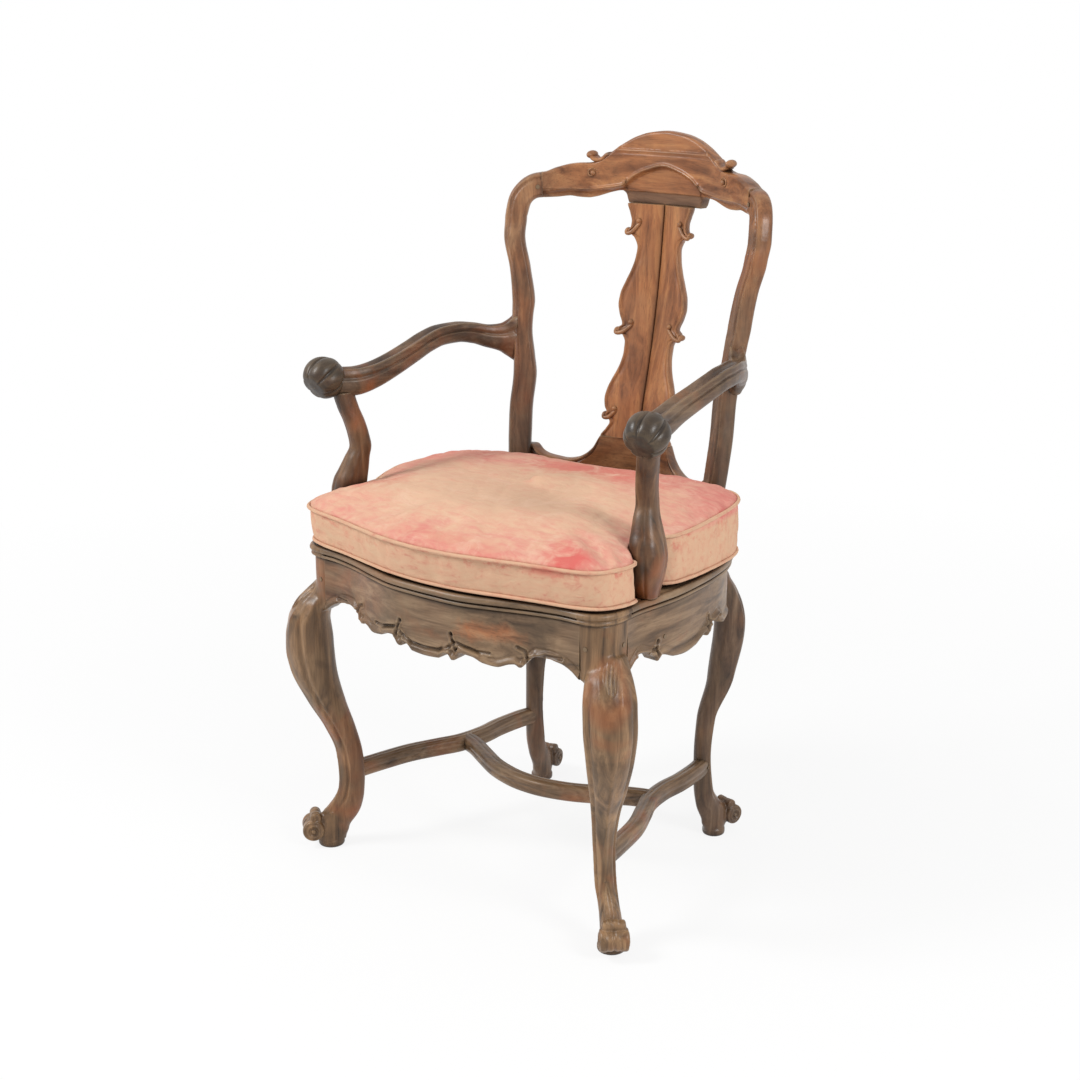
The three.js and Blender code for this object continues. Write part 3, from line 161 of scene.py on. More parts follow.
ear_rows = [
    (0.52, 0.655, 0.9, 45), (0.575, 0.585, 1, 80), (0.615, 0.565, 1, 115), (0.65, 0.585, 1, 150), (0.672, 0.63, 0.85, 185),
]
crest_volute = (0.645, 0.39)
splat_rows = [
    (0, 1.02), (0.035, 0.89), (0.065, 0.8), (0.085, 0.87), (0.095, 0.95), (0.11, 0.905), (0.13, 0.963), (0.17, 1),
    (0.21, 0.963), (0.25, 0.88), (0.29, 0.78), (0.325, 0.715), (0.37, 0.675), (0.41, 0.68), (0.44, 0.76),
    (0.458, 0.93), (0.47, 0.91), (0.485, 0.81), (0.53, 0.907), (0.575, 0.966), (0.615, 0.944), (0.67, 0.832),
    (0.72, 0.715), (0.77, 0.632), (0.815, 0.602), (0.855, 0.69), (0.875, 0.83), (0.886, 0.89), (0.9, 0.816),
    (0.925, 0.8), (0.96, 0.856), (1, 0.93),
]
splat_curls = [(0.6, 0.928, 0.88, 0.884), (0.575, 0.497, 0.92, 0.458), (0.69, 0.125, 0.94, 0.094)]
low_rail_rows = [
    (0, 1), (0.34, 1), (0.365, 0.9), (0.4, 0.74), (0.475, 0.56), (0.56, 0.46), (0.645, 0.425), (0.735, 0.46),
    (0.8, 0.5), (0.84, 0.55), (0.87, 0.61), (0.9, 0.67), (0.93, 0.7), (1, 0.7),
]
arm_rows = [
    (0.2532, 1.014, 0.9905, 0.9, 1.2), (0.2961, 0.986, 0.988, 1.0, 1.34), (0.3391, 0.947, 0.9872, 1.06, 1.32),
    (0.4034, 0.917, 0.9935, 1.02, 1.2), (0.5, 0.905, 1.0097, 1, 1.05), (0.5858, 0.91, 1.025, 1, 0.98),
    (0.6609, 0.915, 1.0388, 1, 0.95), (0.7275, 0.91, 1.0472, 1, 0.94), (0.7961, 0.887, 1.0485, 0.95, 0.95),
    (0.8541, 0.852, 1.043, 0.92, 1), (0.9034, 0.809, 1.0333, 0.9, 1.12), (0.935, 0.773, 1.03, 0.9, 1.35),
    (0.955, 0.75, 1.0283, 0.9, 1.8), (0.975, 0.722, 1.028, 0.8, 2.35),
]
knuckle_place = (1.0195, 0.2532)
arm_post_rows = [
    (0, 0.94, 0.338, 0.82), (0.0649, 0.945, 0.333, 0.98), (0.1515, 0.958, 0.324, 1.18),
    (0.2511, 0.966, 0.317, 1.31), (0.329, 0.956, 0.319, 1.27), (0.3983, 0.943, 0.327, 1.12),
    (0.4719, 0.93, 0.335, 0.95), (0.5455, 0.92, 0.3455, 0.82), (0.6234, 0.924, 0.3391, 0.8),
    (0.7143, 0.936, 0.3283, 0.8), (0.8009, 0.954, 0.3155, 0.8), (0.9, 0.967, 0.307, 0.8),
]
arm_post_slim = 0.85
side_route = [
    (0.82, 0.3026), (0.77, 0.4356), (0.7, 0.5386), (0.643, 0.618), (0.618, 0.7146), (0.622, 0.8047), (0.608, 0.9077),
]
cross_route = [(0.615, 0.64), (0.53, 0.6202), (0.406, 0.5773), (0.261, 0.53), (0.113, 0.5021), (0, 0.4957)]
cushion_shares = [
    (0, 0.006), (0.22, 0.016), (0.42, 0.042), (0.62, 0.07), (0.8, 0.09), (0.92, 0.118), (0.978, 0.175),
    (0.99, 0.245), (0.925, 0.268), (0.85, 0.3), (0.848, 0.375), (0.905, 0.402), (0.972, 0.44), (0.993, 0.52),
    (0.992, 0.62), (0.975, 0.74), (0.925, 0.83), (0.83, 0.885), (0.75, 0.882), (0.65, 0.85), (0.5, 0.91), (0, 0.945),
]
crown_shares = [
    (0, 0.006), (0.22, 0.016), (0.42, 0.042), (0.62, 0.07), (0.8, 0.09), (0.92, 0.118), (0.965, 0.175),
    (0.972, 0.25), (0.965, 0.29), (0.97, 0.34), (0.97, 0.4), (0.97, 0.45), (0.975, 0.495), (0.98, 0.58),
    (0.975, 0.69), (0.955, 0.77), (0.905, 0.845), (0.82, 0.89), (0.73, 0.905), (0.63, 0.915), (0.5, 0.93), (0, 0.945),
]
cushion_top_rows = [
    (0.998, 0.16, 0), (0.988, 0.36, 0.25), (0.962, 0.58, 0.7), (0.905, 0.78, 1), (0.79, 0.9, 1),
    (0.58, 0.97, 1), (0.25, 1, 1), (0.02, 1, 1),
]
cushion_rise_shares = ((0.36, 0.6), (0.22, 0.42))
cushion_swell_shares = ((0.28, 0.85), (-0.25, 0.8))



def rad(angle):
    return math.radians(angle)


def plan(sx, sy, z=0.0):
    return Vector((sx * seat_half_width, seat_front + sy * seat_depth, z))


def rise(share):
    return seat_top + share * (overall_height - seat_top)


def smooth_step(value, low, high):
    t = min(1, max(0, (value - low) / (high - low)))
    return t * t * (3 - 2 * t)


def bump(value, middle, width):
    return math.exp(-(((value - middle) / width) ** 2))


# Smooth value at a place in a table of rows that start with the place, flat beyond its ends
def follow(table, place):
    last = len(table) - 1
    if place <= table[0][0]:
        return table[0][1:]
    if place >= table[last][0]:
        return table[last][1:]
    i = 0
    while table[i + 1][0] < place:
        i += 1

    def slope(k, c):
        if k in (0, last):
            return 0
        before = (table[k][c] - table[k - 1][c]) / (table[k][0] - table[k - 1][0])
        after = (table[k + 1][c] - table[k][c]) / (table[k + 1][0] - table[k][0])
        return 0 if before * after <= 0 else 2 * before * after / (before + after)

    span = table[i + 1][0] - table[i][0]
    t = (place - table[i][0]) / span
    out = []
    for c in range(1, len(table[i])):
        step = table[i + 1][c] - table[i][c]
        a = slope(i, c) * span
        b = slope(i + 1, c) * span
        out.append(table[i][c] + a * t + (3 * step - 2 * a - b) * t * t + (a + b - 2 * step) * t ** 3)
    return out


# Point of a smooth curve through points, from 0 to 1 with equal shares between them
def spline(points, t):
    place = (len(points) - 1) * min(1, max(0, t))
    i = min(int(place), len(points) - 2)
    f = place - i
    p0 = points[max(i - 1, 0)]
    p1 = points[i]
    p2 = points[i + 1]
    p3 = points[min(i + 2, len(points) - 1)]
    v0 = (p2 - p0) * 0.5
    v1 = (p3 - p1) * 0.5
    return p1 + v0 * f + ((p2 - p1) * 3 - v0 * 2 - v1) * f * f + ((p1 - p2) * 2 + v0 + v1) * f ** 3


# Even steps along a curve: its points at nearly equal distances
def even_points(curve, spacing, fine=600):
    raw = [curve(i / fine) for i in range(fine + 1)]
    lengths = [0]
    for i in range(fine):
        lengths.append(lengths[-1] + (raw[i + 1] - raw[i]).length)
    count = max(2, round(lengths[-1] / spacing))
    places = []
    k = 0
    for i in range(count + 1):
        wanted = lengths[-1] * i / count
        while k < fine - 1 and lengths[k + 1] < wanted:
            k += 1
        part = (wanted - lengths[k]) / max(1e-9, lengths[k + 1] - lengths[k])
        places.append((k + part) / fine)
    return places


class Shell:
    """Points and faces of closed forms that are joined later."""

    def __init__(self):
        self.points = []
        self.faces = []

    def loft(self, rings, wraps=False):
        first = len(self.points)
        count = len(rings[0])
        for ring in rings:
            self.points.extend(ring)
        faces = []
        for i in range(len(rings) if wraps else len(rings) - 1):
            a = first + i * count
            b = first + ((i + 1) % len(rings)) * count
            for j in range(count):
                k = (j + 1) % count
                faces.append((a + j, a + k, b + k, b + j))
        if not wraps:
            last = first + (len(rings) - 1) * count
            faces.append(tuple(reversed(range(first, first + count))))
            faces.append(tuple(range(last, last + count)))
        volume = 0
        for face in faces:
            for k in range(1, len(face) - 1):
                p, q, r = (self.points[face[n]] for n in (0, k, k + 1))
                volume += p.dot(q.cross(r))
        if volume < 0:
            faces = [tuple(reversed(face)) for face in faces]
        self.faces.extend(faces)
        return self

    def ball(self, centre, radius, flat=1.0, axis=None, rows=12, sides=20):
        axis = axis or Vector((0, 1, 0))
        a = axis.orthogonal().normalized()
        b = axis.cross(a).normalized()
        rings = []
        for i in range(1, rows):
            lift = math.pi * (i / rows - 0.5)
            middle = centre + axis.normalized() * (radius * flat * math.sin(lift))
            rings.append(circle(middle, a, b, radius * math.cos(lift), sides))
        return self.loft(rings)

    def tube(self, path, radii, sides=10):
        rings = []
        side = None
        for i, p in enumerate(path):
            ahead = path[min(i + 1, len(path) - 1)]
            behind = path[max(i - 1, 0)]
            along = (ahead - behind).normalized()
            if side is None:
                side = along.orthogonal().normalized()
            side = (side - along * side.dot(along)).normalized()
            rings.append(circle(p, side, along.cross(side), radii[i] if hasattr(radii, "__len__") else radii, sides))
        return self.loft(rings)

    def make(self, name, voxel=None, passes=0):
        mesh = bpy.data.meshes.new(name)
        mesh.from_pydata([tuple(p) for p in self.points], [], self.faces)
        mesh.validate()
        thing = bpy.data.objects.new(name, mesh)
        bpy.context.scene.collection.objects.link(thing)
        if voxel:
            remesh(thing, voxel, passes)
        for polygon in thing.data.polygons:
            polygon.use_smooth = True
        return thing


def circle(centre, a, b, radius, sides):
    turn = 2 * math.pi / sides
    return [centre + a * (radius * math.cos(turn * k)) + b * (radius * math.sin(turn * k)) for k in range(sides)]


def settle(thing):
    depsgraph = bpy.context.evaluated_depsgraph_get()
    mesh = bpy.data.meshes.new_from_object(thing.evaluated_get(depsgraph))
    mesh.name = thing.name
    thing.modifiers.clear()
    thing.data = mesh


def remesh(thing, voxel, passes):
    modifier = thing.modifiers.new("join", "REMESH")
    modifier.mode = "VOXEL"
    modifier.voxel_size = voxel * 1
    if passes:
        relax = thing.modifiers.new("relax", "SMOOTH")
        relax.factor = 0.5
        relax.iterations = passes
    settle(thing)


# Relax a form where a weight from 0 to 1 asks for it
def soften(thing, weigh, passes):
    group = thing.vertex_groups.new(name="soft")
    for v in thing.data.vertices:
        weight = weigh(v.co)
        if weight > 0:
            group.add([v.index], weight, "REPLACE")
    relax = thing.modifiers.new("soften", "SMOOTH")
    relax.factor = 0.5
    relax.iterations = passes
    relax.vertex_group = "soft"
    settle(thing)


def carve(thing, lift_at):
    moves = [v.normal * lift_at(v.co) for v in thing.data.vertices]
    for v, move in zip(thing.data.vertices, moves):
        v.co += move


# Closed forms joined into one, with the edges between them left sharp
def unite(thing, *others):
    for other in others:
        modifier = thing.modifiers.new("join", "BOOLEAN")
        modifier.operation = "UNION"
        modifier.solver = "MANIFOLD"
        modifier.object = other
        settle(thing)
        bpy.data.objects.remove(other)
    return thing


def sharpen(thing, angle):
    bm = bmesh.new()
    bm.from_mesh(thing.data)
    for face in bm.faces:
        face.smooth = True
    for edge in bm.edges:
        if len(edge.link_faces) == 2 and edge.calc_face_angle() > rad(angle):
            edge.smooth = False
    bm.to_mesh(thing.data)
    bm.free()
    return thing


def mirror_copy(thing, name):
    mesh = thing.data.copy()
    mesh.name = name
    mesh.transform(Matrix.Scale(-1, 4, (1, 0, 0)))
    mesh.flip_normals()
    twin = bpy.data.objects.new(name, mesh)
    bpy.context.scene.collection.objects.link(twin)
    return twin


def ring_of(centre, axis_a, axis_b, section):
    return [centre + axis_a * a + axis_b * b for a, b in section]


# Squared oval whose outline is raised by a relief that depends on the angle in degrees
def oval(half_a, half_b, squareness, count, relief=None):
    section = []
    for k in range(count):
        t = 2 * math.pi * k / count
        c = math.cos(t)
        s = math.sin(t)
        reach = (abs(c) ** squareness + abs(s) ** squareness) ** (-1 / squareness)
        lift = relief(math.degrees(t)) if relief else 0
        section.append((half_a * c * reach + c * lift, half_b * s * reach + s * lift))
    return section


def angle_from(angle, middle):
    return (angle - middle + 180) % 360 - 180


# Seat outline
outline_points = [plan(x, y) for x, y in outline_shares]
outline_rows_count = len(outline_points) - 1


def outline_at(t):
    return spline(outline_points, t)


def edge_at(t):
    step = 0.0005
    p = outline_at(t)
    along = (outline_at(min(1, t + step)) - outline_at(max(0, t - step))).normalized()
    if t <= 0:
        along = Vector((1, 0, 0))
    if t >= 1:
        along = Vector((-1, 0, 0))
    return p, Vector((-along.y, along.x, 0))


def place_at(measure, value, low, high):
    rising = measure(outline_at(high)) > measure(outline_at(low))
    for _ in range(30):
        middle = (low + high) / 2
        if (measure(outline_at(middle)) < value) == rising:
            low = middle
        else:
            high = middle
    return (low + high) / 2


front_apron_end = seat_half_width - 0.05 * 0.6
side_middle = seat_front + seat_depth * 0.51
side_half = seat_depth * 0.275


def apron_depth(x, y):
    if y > seat_front + seat_depth * 0.9:
        return apron_drop * 0.82
    if y < side_middle - side_half and abs(x) < front_apron_end:
        return apron_drop * follow(front_apron_shares, abs(x) / front_apron_end)[0]
    return apron_drop * follow(side_apron_shares, abs(y - side_middle) / side_half)[0]


# Carved lines of the aprons, as distance along the rail and height: scrolls that start with an eye at each cusp
front_lines = [
    [(0.047, 0.4295), (0.0505, 0.421), (0.0555, 0.408)],
    [(0.0505, 0.421), (0.0615, 0.4175), (0.0885, 0.4105), (0.106, 0.4105)],
    [(0.052, 0.417), (0.0385, 0.4065), (0.0225, 0.402), (0, 0.4005)],
    [(0.1445, 0.4245), (0.1545, 0.4205), (0.158, 0.4115), (0.156, 0.404)],
    [(0.158, 0.4115), (0.17, 0.412), (0.1835, 0.4185), (0.205, 0.4175)],
]
front_eyes = [(0.047, 0.4295), (0.1575, 0.4065)]
side_lines = [
    [(0.0655, 0.424), (0.069, 0.415), (0.0655, 0.406)],
    [(0.069, 0.415), (0.084, 0.4105), (0.105, 0.415)],
]
side_eyes = [(0.0655, 0.424)]
carve_near = 0.014


def to_line(x, z, line):
    best = carve_near
    for (ax, az), (bx, bz) in zip(line, line[1:]):
        dx = bx - ax
        dz = bz - az
        t = min(1, max(0, ((x - ax) * dx + (z - az) * dz) / (dx * dx + dz * dz)))
        best = min(best, math.hypot(x - ax - dx * t, z - az - dz * t))
    return best


def apron_relief(p, z, drop):
    h = z - (seat_top - drop)
    lift = 0.0024 * bump(h, 0.0045, 0.0038) - 0.0015 * bump(h, 0.0115, 0.0026)
    if p.y < side_middle - side_half and abs(p.x) < front_apron_end:
        place, lines, eyes = abs(p.x), front_lines, front_eyes
    else:
        place, lines, eyes = abs(p.y - side_middle), side_lines, side_eyes
    if z > seat_top - 0.048:
        return lift
    for line in lines:
        r = to_line(place, z, line)
        lift += 0.0014 * bump(r, 0.0042, 0.0018) - 0.0024 * bump(r, 0, 0.0019)
    for x, eye_z in eyes:
        lift -= 0.003 * bump(math.hypot(place - x, z - eye_z), 0, 0.0028)
    return lift


def rail_section(t, side=1):
    edge, inward = edge_at(t)
    drop = apron_depth(edge.x, edge.y)
    inner = rail_thickness - rebate_width
    rows = [
        (inner, 0), (0.0125, 0), (0.0106, -0.001), (0.0092, -0.0013), (0.0076, -0.0003), (0.0054, 0.0002),
        (0.0032, -0.0004), (0.0015, -0.0017), (0.0004, -0.0035), (0.0, -0.0054), (0.0005, -0.0073), (0.0017, -0.0088),
        (0.0034, -0.0097), (0.0053, -0.0101), (0.0055, -0.0108), (0.0042, -0.0113), (0.0028, -0.0122),
        (0.0021, -0.0135), (0.0022, -0.0149), (0.0034, -0.0161), (0.0053, -0.0167), (0.0086, -0.0171),
        (0.0096, -0.018), (0.0088, -0.0192),
    ]
    face_top = 0.0205
    steps = 84
    for k in range(steps + 1):
        z = -face_top - (drop - 0.0012 - face_top) * k / steps
        rows.append((apron_inset - apron_relief(edge, seat_top + z, drop), z))
    rows += [
        (apron_inset + 0.0018, -drop), (apron_inset + 0.01, -drop), (rail_thickness - 0.003, -drop),
        (rail_thickness, -drop + 0.003), (rail_thickness, -drop / 2), (rail_thickness, -rebate_depth),
        (inner, -rebate_depth),
    ]
    return [Vector((side * (edge.x + inward.x * d), edge.y + inward.y * d, seat_top + z)) for d, z in rows]


def rail_rings(from_t, to_t, spacing=0.0012, side=1):
    places = even_points(lambda s: outline_at(from_t + (to_t - from_t) * s), spacing * (1))
    return [rail_section(from_t + (to_t - from_t) * s, side) for s in places]


rear_post = plan(0.676, 0.921)
stile_face = Vector((math.cos(rad(stile_turn)), -math.sin(rad(stile_turn)), 0))
stile_back = Vector((math.sin(rad(stile_turn)), math.cos(rad(stile_turn)), 0))


def across_post(p):
    return (p.x - rear_post.x) * stile_face.x + (p.y - rear_post.y) * stile_face.y


at_front = place_at(lambda p: p.x, front_post_x, 0, 6 / outline_rows_count)
at_side = place_at(lambda p: p.y, front_post_y, 5 / outline_rows_count, 1)
at_rear = place_at(across_post, rear_post_width / 2, 12 / outline_rows_count, 1)
at_back = place_at(across_post, -rear_post_width / 2, 12 / outline_rows_count, 1)

# Legs
front_leg = {
    "rows": front_leg_rows, "foot": plan(0, 0) + Vector((seat_half_width - 0.015, 0.082, 0)), "angle": -47,
    "height": 0.428, "reach": 0.058, "half": 0.036, "cant": 0.008, "pad": 0.02, "scroll": 0.044, "size": 1,
}
rear_leg = {
    "rows": rear_leg_rows, "foot": plan(0, 0) + Vector((seat_half_width - 0.112, seat_depth + 0.014, 0)), "angle": 78,
    "height": 0.444, "reach": 0.041, "half": 0.025, "cant": 0.031, "pad": 0.0175, "scroll": 0.044, "size": 0.93,
}


def leg_axes(kind):
    out = Vector((math.cos(rad(kind["angle"])), math.sin(rad(kind["angle"])), 0))
    return out, Vector((-out.y, out.x, 0))


def leg_centre(kind, share):
    out, across = leg_axes(kind)
    offset, lean = follow(kind["rows"], share)[:2]
    return (kind["foot"] + out * (offset * kind["reach"]) + across * (lean * kind["cant"])
            + Vector((0, 0, share * kind["height"])))


def leg_relief(share):
    def lift(angle):
        d = angle_from(angle, 0)
        ridge = 0.0026 * bump(d, 0, 10) * smooth_step(share, 0.2, 0.3) * (1 - smooth_step(share, 0.72, 0.8))
        edge = -0.003 * bump(abs(d), 64, 6) * smooth_step(share, 0.12, 0.2) * (1 - smooth_step(share, 0.9, 0.97))
        edge += 0.0016 * bump(abs(d), 79, 6) * smooth_step(share, 0.12, 0.2)
        return ridge + edge

    return lift


# Carving on a front leg: a fluted tongue on the knee with a hollow below it, and a leaf on the ankle
def knee_carving(p):
    share = p.z / front_leg["height"]
    if p.z > 0.43 or share < 0.1 or 0.3 < share < 0.8:
        return 0
    out, across = leg_axes(front_leg)
    rel = p - leg_centre(front_leg, share)
    u = rel.dot(across)
    if rel.dot(out) < abs(u):
        return 0
    if share > 0.5:
        t = (share - 0.9) / 0.095
        half = 0.0105 * min(1, max(0, t * 2)) ** 0.5 * (1 - 0.25 * smooth_step(t, 0.6, 1))
        inside = smooth_step(half - abs(u), -0.001, 0.0018) * smooth_step(t, -0.02, 0.08) * (1 - smooth_step(t, 0.7, 1.05))
        flutes = 0.0008 * math.cos(2 * math.pi * u / 0.0052)
        hollow = 0.0024 * bump(u, 0, 0.0085) * bump(share, 0.868, 0.03)
        rim = 0.0014 * bump(abs(u), 0.0145, 0.0035) * bump(share, 0.9, 0.06)
        return inside * (0.0014 + flutes) - hollow + rim
    t = (0.222 - share) / 0.09
    half = 0.0085 * min(1, max(0, t))
    inside = smooth_step(half - abs(u), -0.0005, 0.001) * smooth_step(t, 0, 0.15) * (1 - smooth_step(t, 1, 1.15))
    return inside * (0.0016 - 0.0013 * bump(u, 0, 0.0016)) - 0.001 * bump(abs(u) - half, 0.0018, 0.0012) * (0 < t < 1)


def leg_rings(kind):
    out, across = leg_axes(kind)
    rows = 130
    sides = 72
    first = kind["rows"][0][0]
    rings = []
    for i in range(rows + 1):
        share = first + (1 - first) * i / rows
        _, _, depth, width = follow(kind["rows"], share)
        section = oval(depth * kind["half"], width * kind["half"], 1.75, sides, leg_relief(share))
        rings.append(ring_of(leg_centre(kind, share), out, across, section))
    return rings


# Drum of a scroll with a spiral sunk in both ends
def scroll_rings(centre, out, across, radius, half_width):
    profile = [
        (0.0, 1.04), (0.16, 1.02), (0.26, 0.9), (0.34, 0.84), (0.44, 0.95), (0.56, 1.0), (0.66, 0.95), (0.74, 0.86),
        (0.84, 0.93), (0.93, 0.9), (1.0, 0.78), (1.0, 0.55), (0.93, 0.4), (0.96, 0.26), (0.96, 0.14), (0.85, 0.04),
        (0.85, -0.04), (0.96, -0.14), (0.96, -0.26), (0.93, -0.4), (1.0, -0.55), (1.0, -0.78),
        (0.93, -0.9), (0.84, -0.93), (0.74, -0.86), (0.66, -0.95), (0.56, -1.0), (0.44, -0.95), (0.34, -0.84),
        (0.26, -0.9), (0.16, -1.02), (0.0, -1.04),
    ]
    up = Vector((0, 0, 1))
    rings = []
    for r, w in profile:
        ring = []
        for k in range(40):
            t = 2 * math.pi * k / 40
            curl = r if r in (0.0, 1.0) else r * (1 + 0.12 * (0.5 - k / 40) * (1 - r))
            curl = max(curl, 0.004)
            ring.append(centre + across * (w * half_width) + out * (radius * curl * math.cos(t))
                        + up * (radius * curl * math.sin(t)))
        rings.append(ring)
    return rings


def add_foot(shell, kind):
    out, across = leg_axes(kind)
    up = Vector((0, 0, 1))
    size = kind["size"]
    pad = [
        (0.0, 0.9), (0.0012, 0.96), (0.003, 1), (0.009, 1), (0.0105, 0.95), (0.0125, 0.86),
    ]
    shell.loft([circle(kind["foot"] + up * z, out, across, kind["pad"] * r, 40) for z, r in pad])
    radius = 0.0165 * size
    middle = kind["foot"] + out * (kind["scroll"] - radius) + up * (0.0125 + radius)
    shell.loft(scroll_rings(middle, out, across, radius, 0.0215 * size))
    upper = kind["foot"] + out * (kind["scroll"] - 0.0205 * size) + up * (0.0475 * size)
    shell.loft(scroll_rings(upper, out, across, 0.0088 * size, 0.017 * size))


# Weight for relaxing a leg: where it leaves the rail, and where it meets its foot
def leg_blend(kind):
    top = kind["height"]
    out, across = leg_axes(kind)

    def weigh(p):
        near = (Vector((p.x, p.y, 0)) - kind["foot"]).length
        beside = abs((p - leg_centre(kind, 1)).dot(across))
        knee = bump(p.z, top - 0.01, 0.034) * (1 - smooth_step(p.z, top + 0.004, top + 0.034))
        knee *= 1 - smooth_step(beside, 0.043, 0.058)
        ankle = 0.35 * bump(p.z, 0.045, 0.012) * (1 - smooth_step(near, 0.02, 0.034))
        return min(1, max(knee, ankle))

    return weigh


def back_y(x, z):
    share = (z - seat_top) / (overall_height - seat_top)
    middle = seat_front + seat_depth * follow(rake_rows, share)[0]
    ease = smooth_step(share, *sag_change)
    sag = lower_sag + (crest_sag - lower_sag) * ease
    power = lower_sag_power + (crest_sag_power - lower_sag_power) * ease
    return middle - sag * (abs(x) / back_spread) ** power


def crest_axes(x):
    reach = crest_thickness / 2
    along = Vector((2 * reach, back_y(x + reach, crest_base) - back_y(x - reach, crest_base), 0)).normalized()
    return along, Vector((-along.y, along.x, 0))


def stile_relief(angle):
    outer = angle_from(angle, 300)
    inner = angle_from(angle, 236)
    return -0.0024 * bump(outer, 0, 5) + 0.0015 * bump(outer, 12, 6) + 0.0016 * bump(inner, 0, 7)


def stile_rings():
    sides = 64
    rings = []
    first = stile_rows[0][0]
    last = stile_rows[-1][0]
    steps = 150
    for i in range(steps + 1):
        share = first + (last - first) * i / steps
        x, y, scale = follow(stile_rows, share)
        centre = plan(x, y, rise(share)) + stile_back * (stile_depth / 2)
        section = oval(stile_half_width * scale, stile_depth / 2, 3.4, sides, stile_relief)
        rings.append(ring_of(centre, stile_face, stile_back, section))
    rows = [(stile_rows[-1][0], stile_rows[-1][1], stile_rows[-1][2], 0, stile_rows[-1][3])] + shoulder_rows
    centres = [plan(x, y, rise(share)) + stile_back * (stile_depth / 2) for share, x, y, _, _ in rows]
    count = 36
    for i in range(1, count + 1):
        t = i / count
        centre = spline(centres, t)
        k = (len(rows) - 1) * t
        j = min(int(k), len(rows) - 2)
        f = k - j
        lean = rows[j][3] + (rows[j + 1][3] - rows[j][3]) * f
        scale = rows[j][4] + (rows[j + 1][4] - rows[j][4]) * f
        width = stile_face * math.cos(rad(lean)) + Vector((0, 0, math.sin(rad(lean))))
        section = oval(stile_half_width * scale, stile_depth / 2, 3.4, sides, stile_relief)
        rings.append(ring_of(centre, width, stile_back, section))
    return rings


# Cut away what lies beyond a plane, above a height
def cut_beyond(thing, place, normal, above):
    bm = bmesh.new()
    bm.from_mesh(thing.data)
    verts = {v for v in bm.verts if v.co.z > above}
    edges = [e for e in bm.edges if all(v in verts for v in e.verts)]
    faces = [f for f in bm.faces if all(v in verts for v in f.verts)]
    cut = bmesh.ops.bisect_plane(
        bm, geom=list(verts) + edges + faces, plane_co=place, plane_no=normal, clear_outer=True,
    )
    edges = [e for e in cut["geom_cut"] if isinstance(e, bmesh.types.BMEdge)]
    bmesh.ops.contextual_create(bm, geom=edges)
    bm.to_mesh(thing.data)
    bm.free()


crest_step = crest_base + crest_height * 0.735
crest_band = crest_base + crest_height * 0.165


# Front of the crest at a height: bead, sunk cap above the step, and sunk band under the arch
def crest_front(z, low, bead, strength):
    b = crest_bead
    raised = 1.35 * b * strength * bump(z, bead, b * 0.95)
    below = b * 1.05 * strength * (1 - smooth_step(z, bead - 0.4 * b, bead + 0.9 * b))
    cap = 0.0019 * smooth_step(z, crest_step - 0.001, crest_step + 0.0012) - 0.0009 * bump(z, crest_step - 0.0022, 0.0016)
    second = 0.0007 * smooth_step(z, crest_step - 0.0085, crest_step - 0.0065)
    band = 0.0016 * (1 - smooth_step(z, crest_band - 0.0008, crest_band + 0.0008))
    cove = 0.0014 * bump(z, (low + bead) / 2, 0.35 * (bead - low) + 0.0005)
    return below + cap + second + band + cove - raised


def crest_section(x):
    low, high, bead = (crest_base + crest_height * s for s in follow(crest_rows, abs(x) / crest_half_length))
    back = crest_axes(x)[1]
    b = crest_bead
    t = crest_thickness
    round_top = t * 0.2
    strength = 1 - 0.65 * smooth_step(abs(x) / crest_half_length, 0.86, 1)
    start = low + 0.0022
    finish = high - round_top
    count = 84
    rows = [(crest_front(start, low, bead, strength) + 0.0022, low)]
    rows.append((crest_front(start, low, bead, strength) + 0.0006, low + 0.0007))
    for k in range(count + 1):
        z = start + (finish - start) * k / count
        rows.append((crest_front(z, low, bead, strength), z))
    front = crest_front(finish, low, bead, strength)
    for k in range(1, 8):
        turn = math.pi / 2 * k / 7
        rows.append((front + round_top * (1 - math.cos(turn)), high - round_top * (1 - math.sin(turn))))
    rows += [(t * 0.6, high), (t * 0.85, high - 0.0008), (t, high - b)]
    rows += [(t, high + (low - high) * 0.3), (t, high + (low - high) * 0.7), (t, low + b), (t - b, low)]
    return [Vector((x, back_y(x, z), z)) + back * d for d, z in rows]


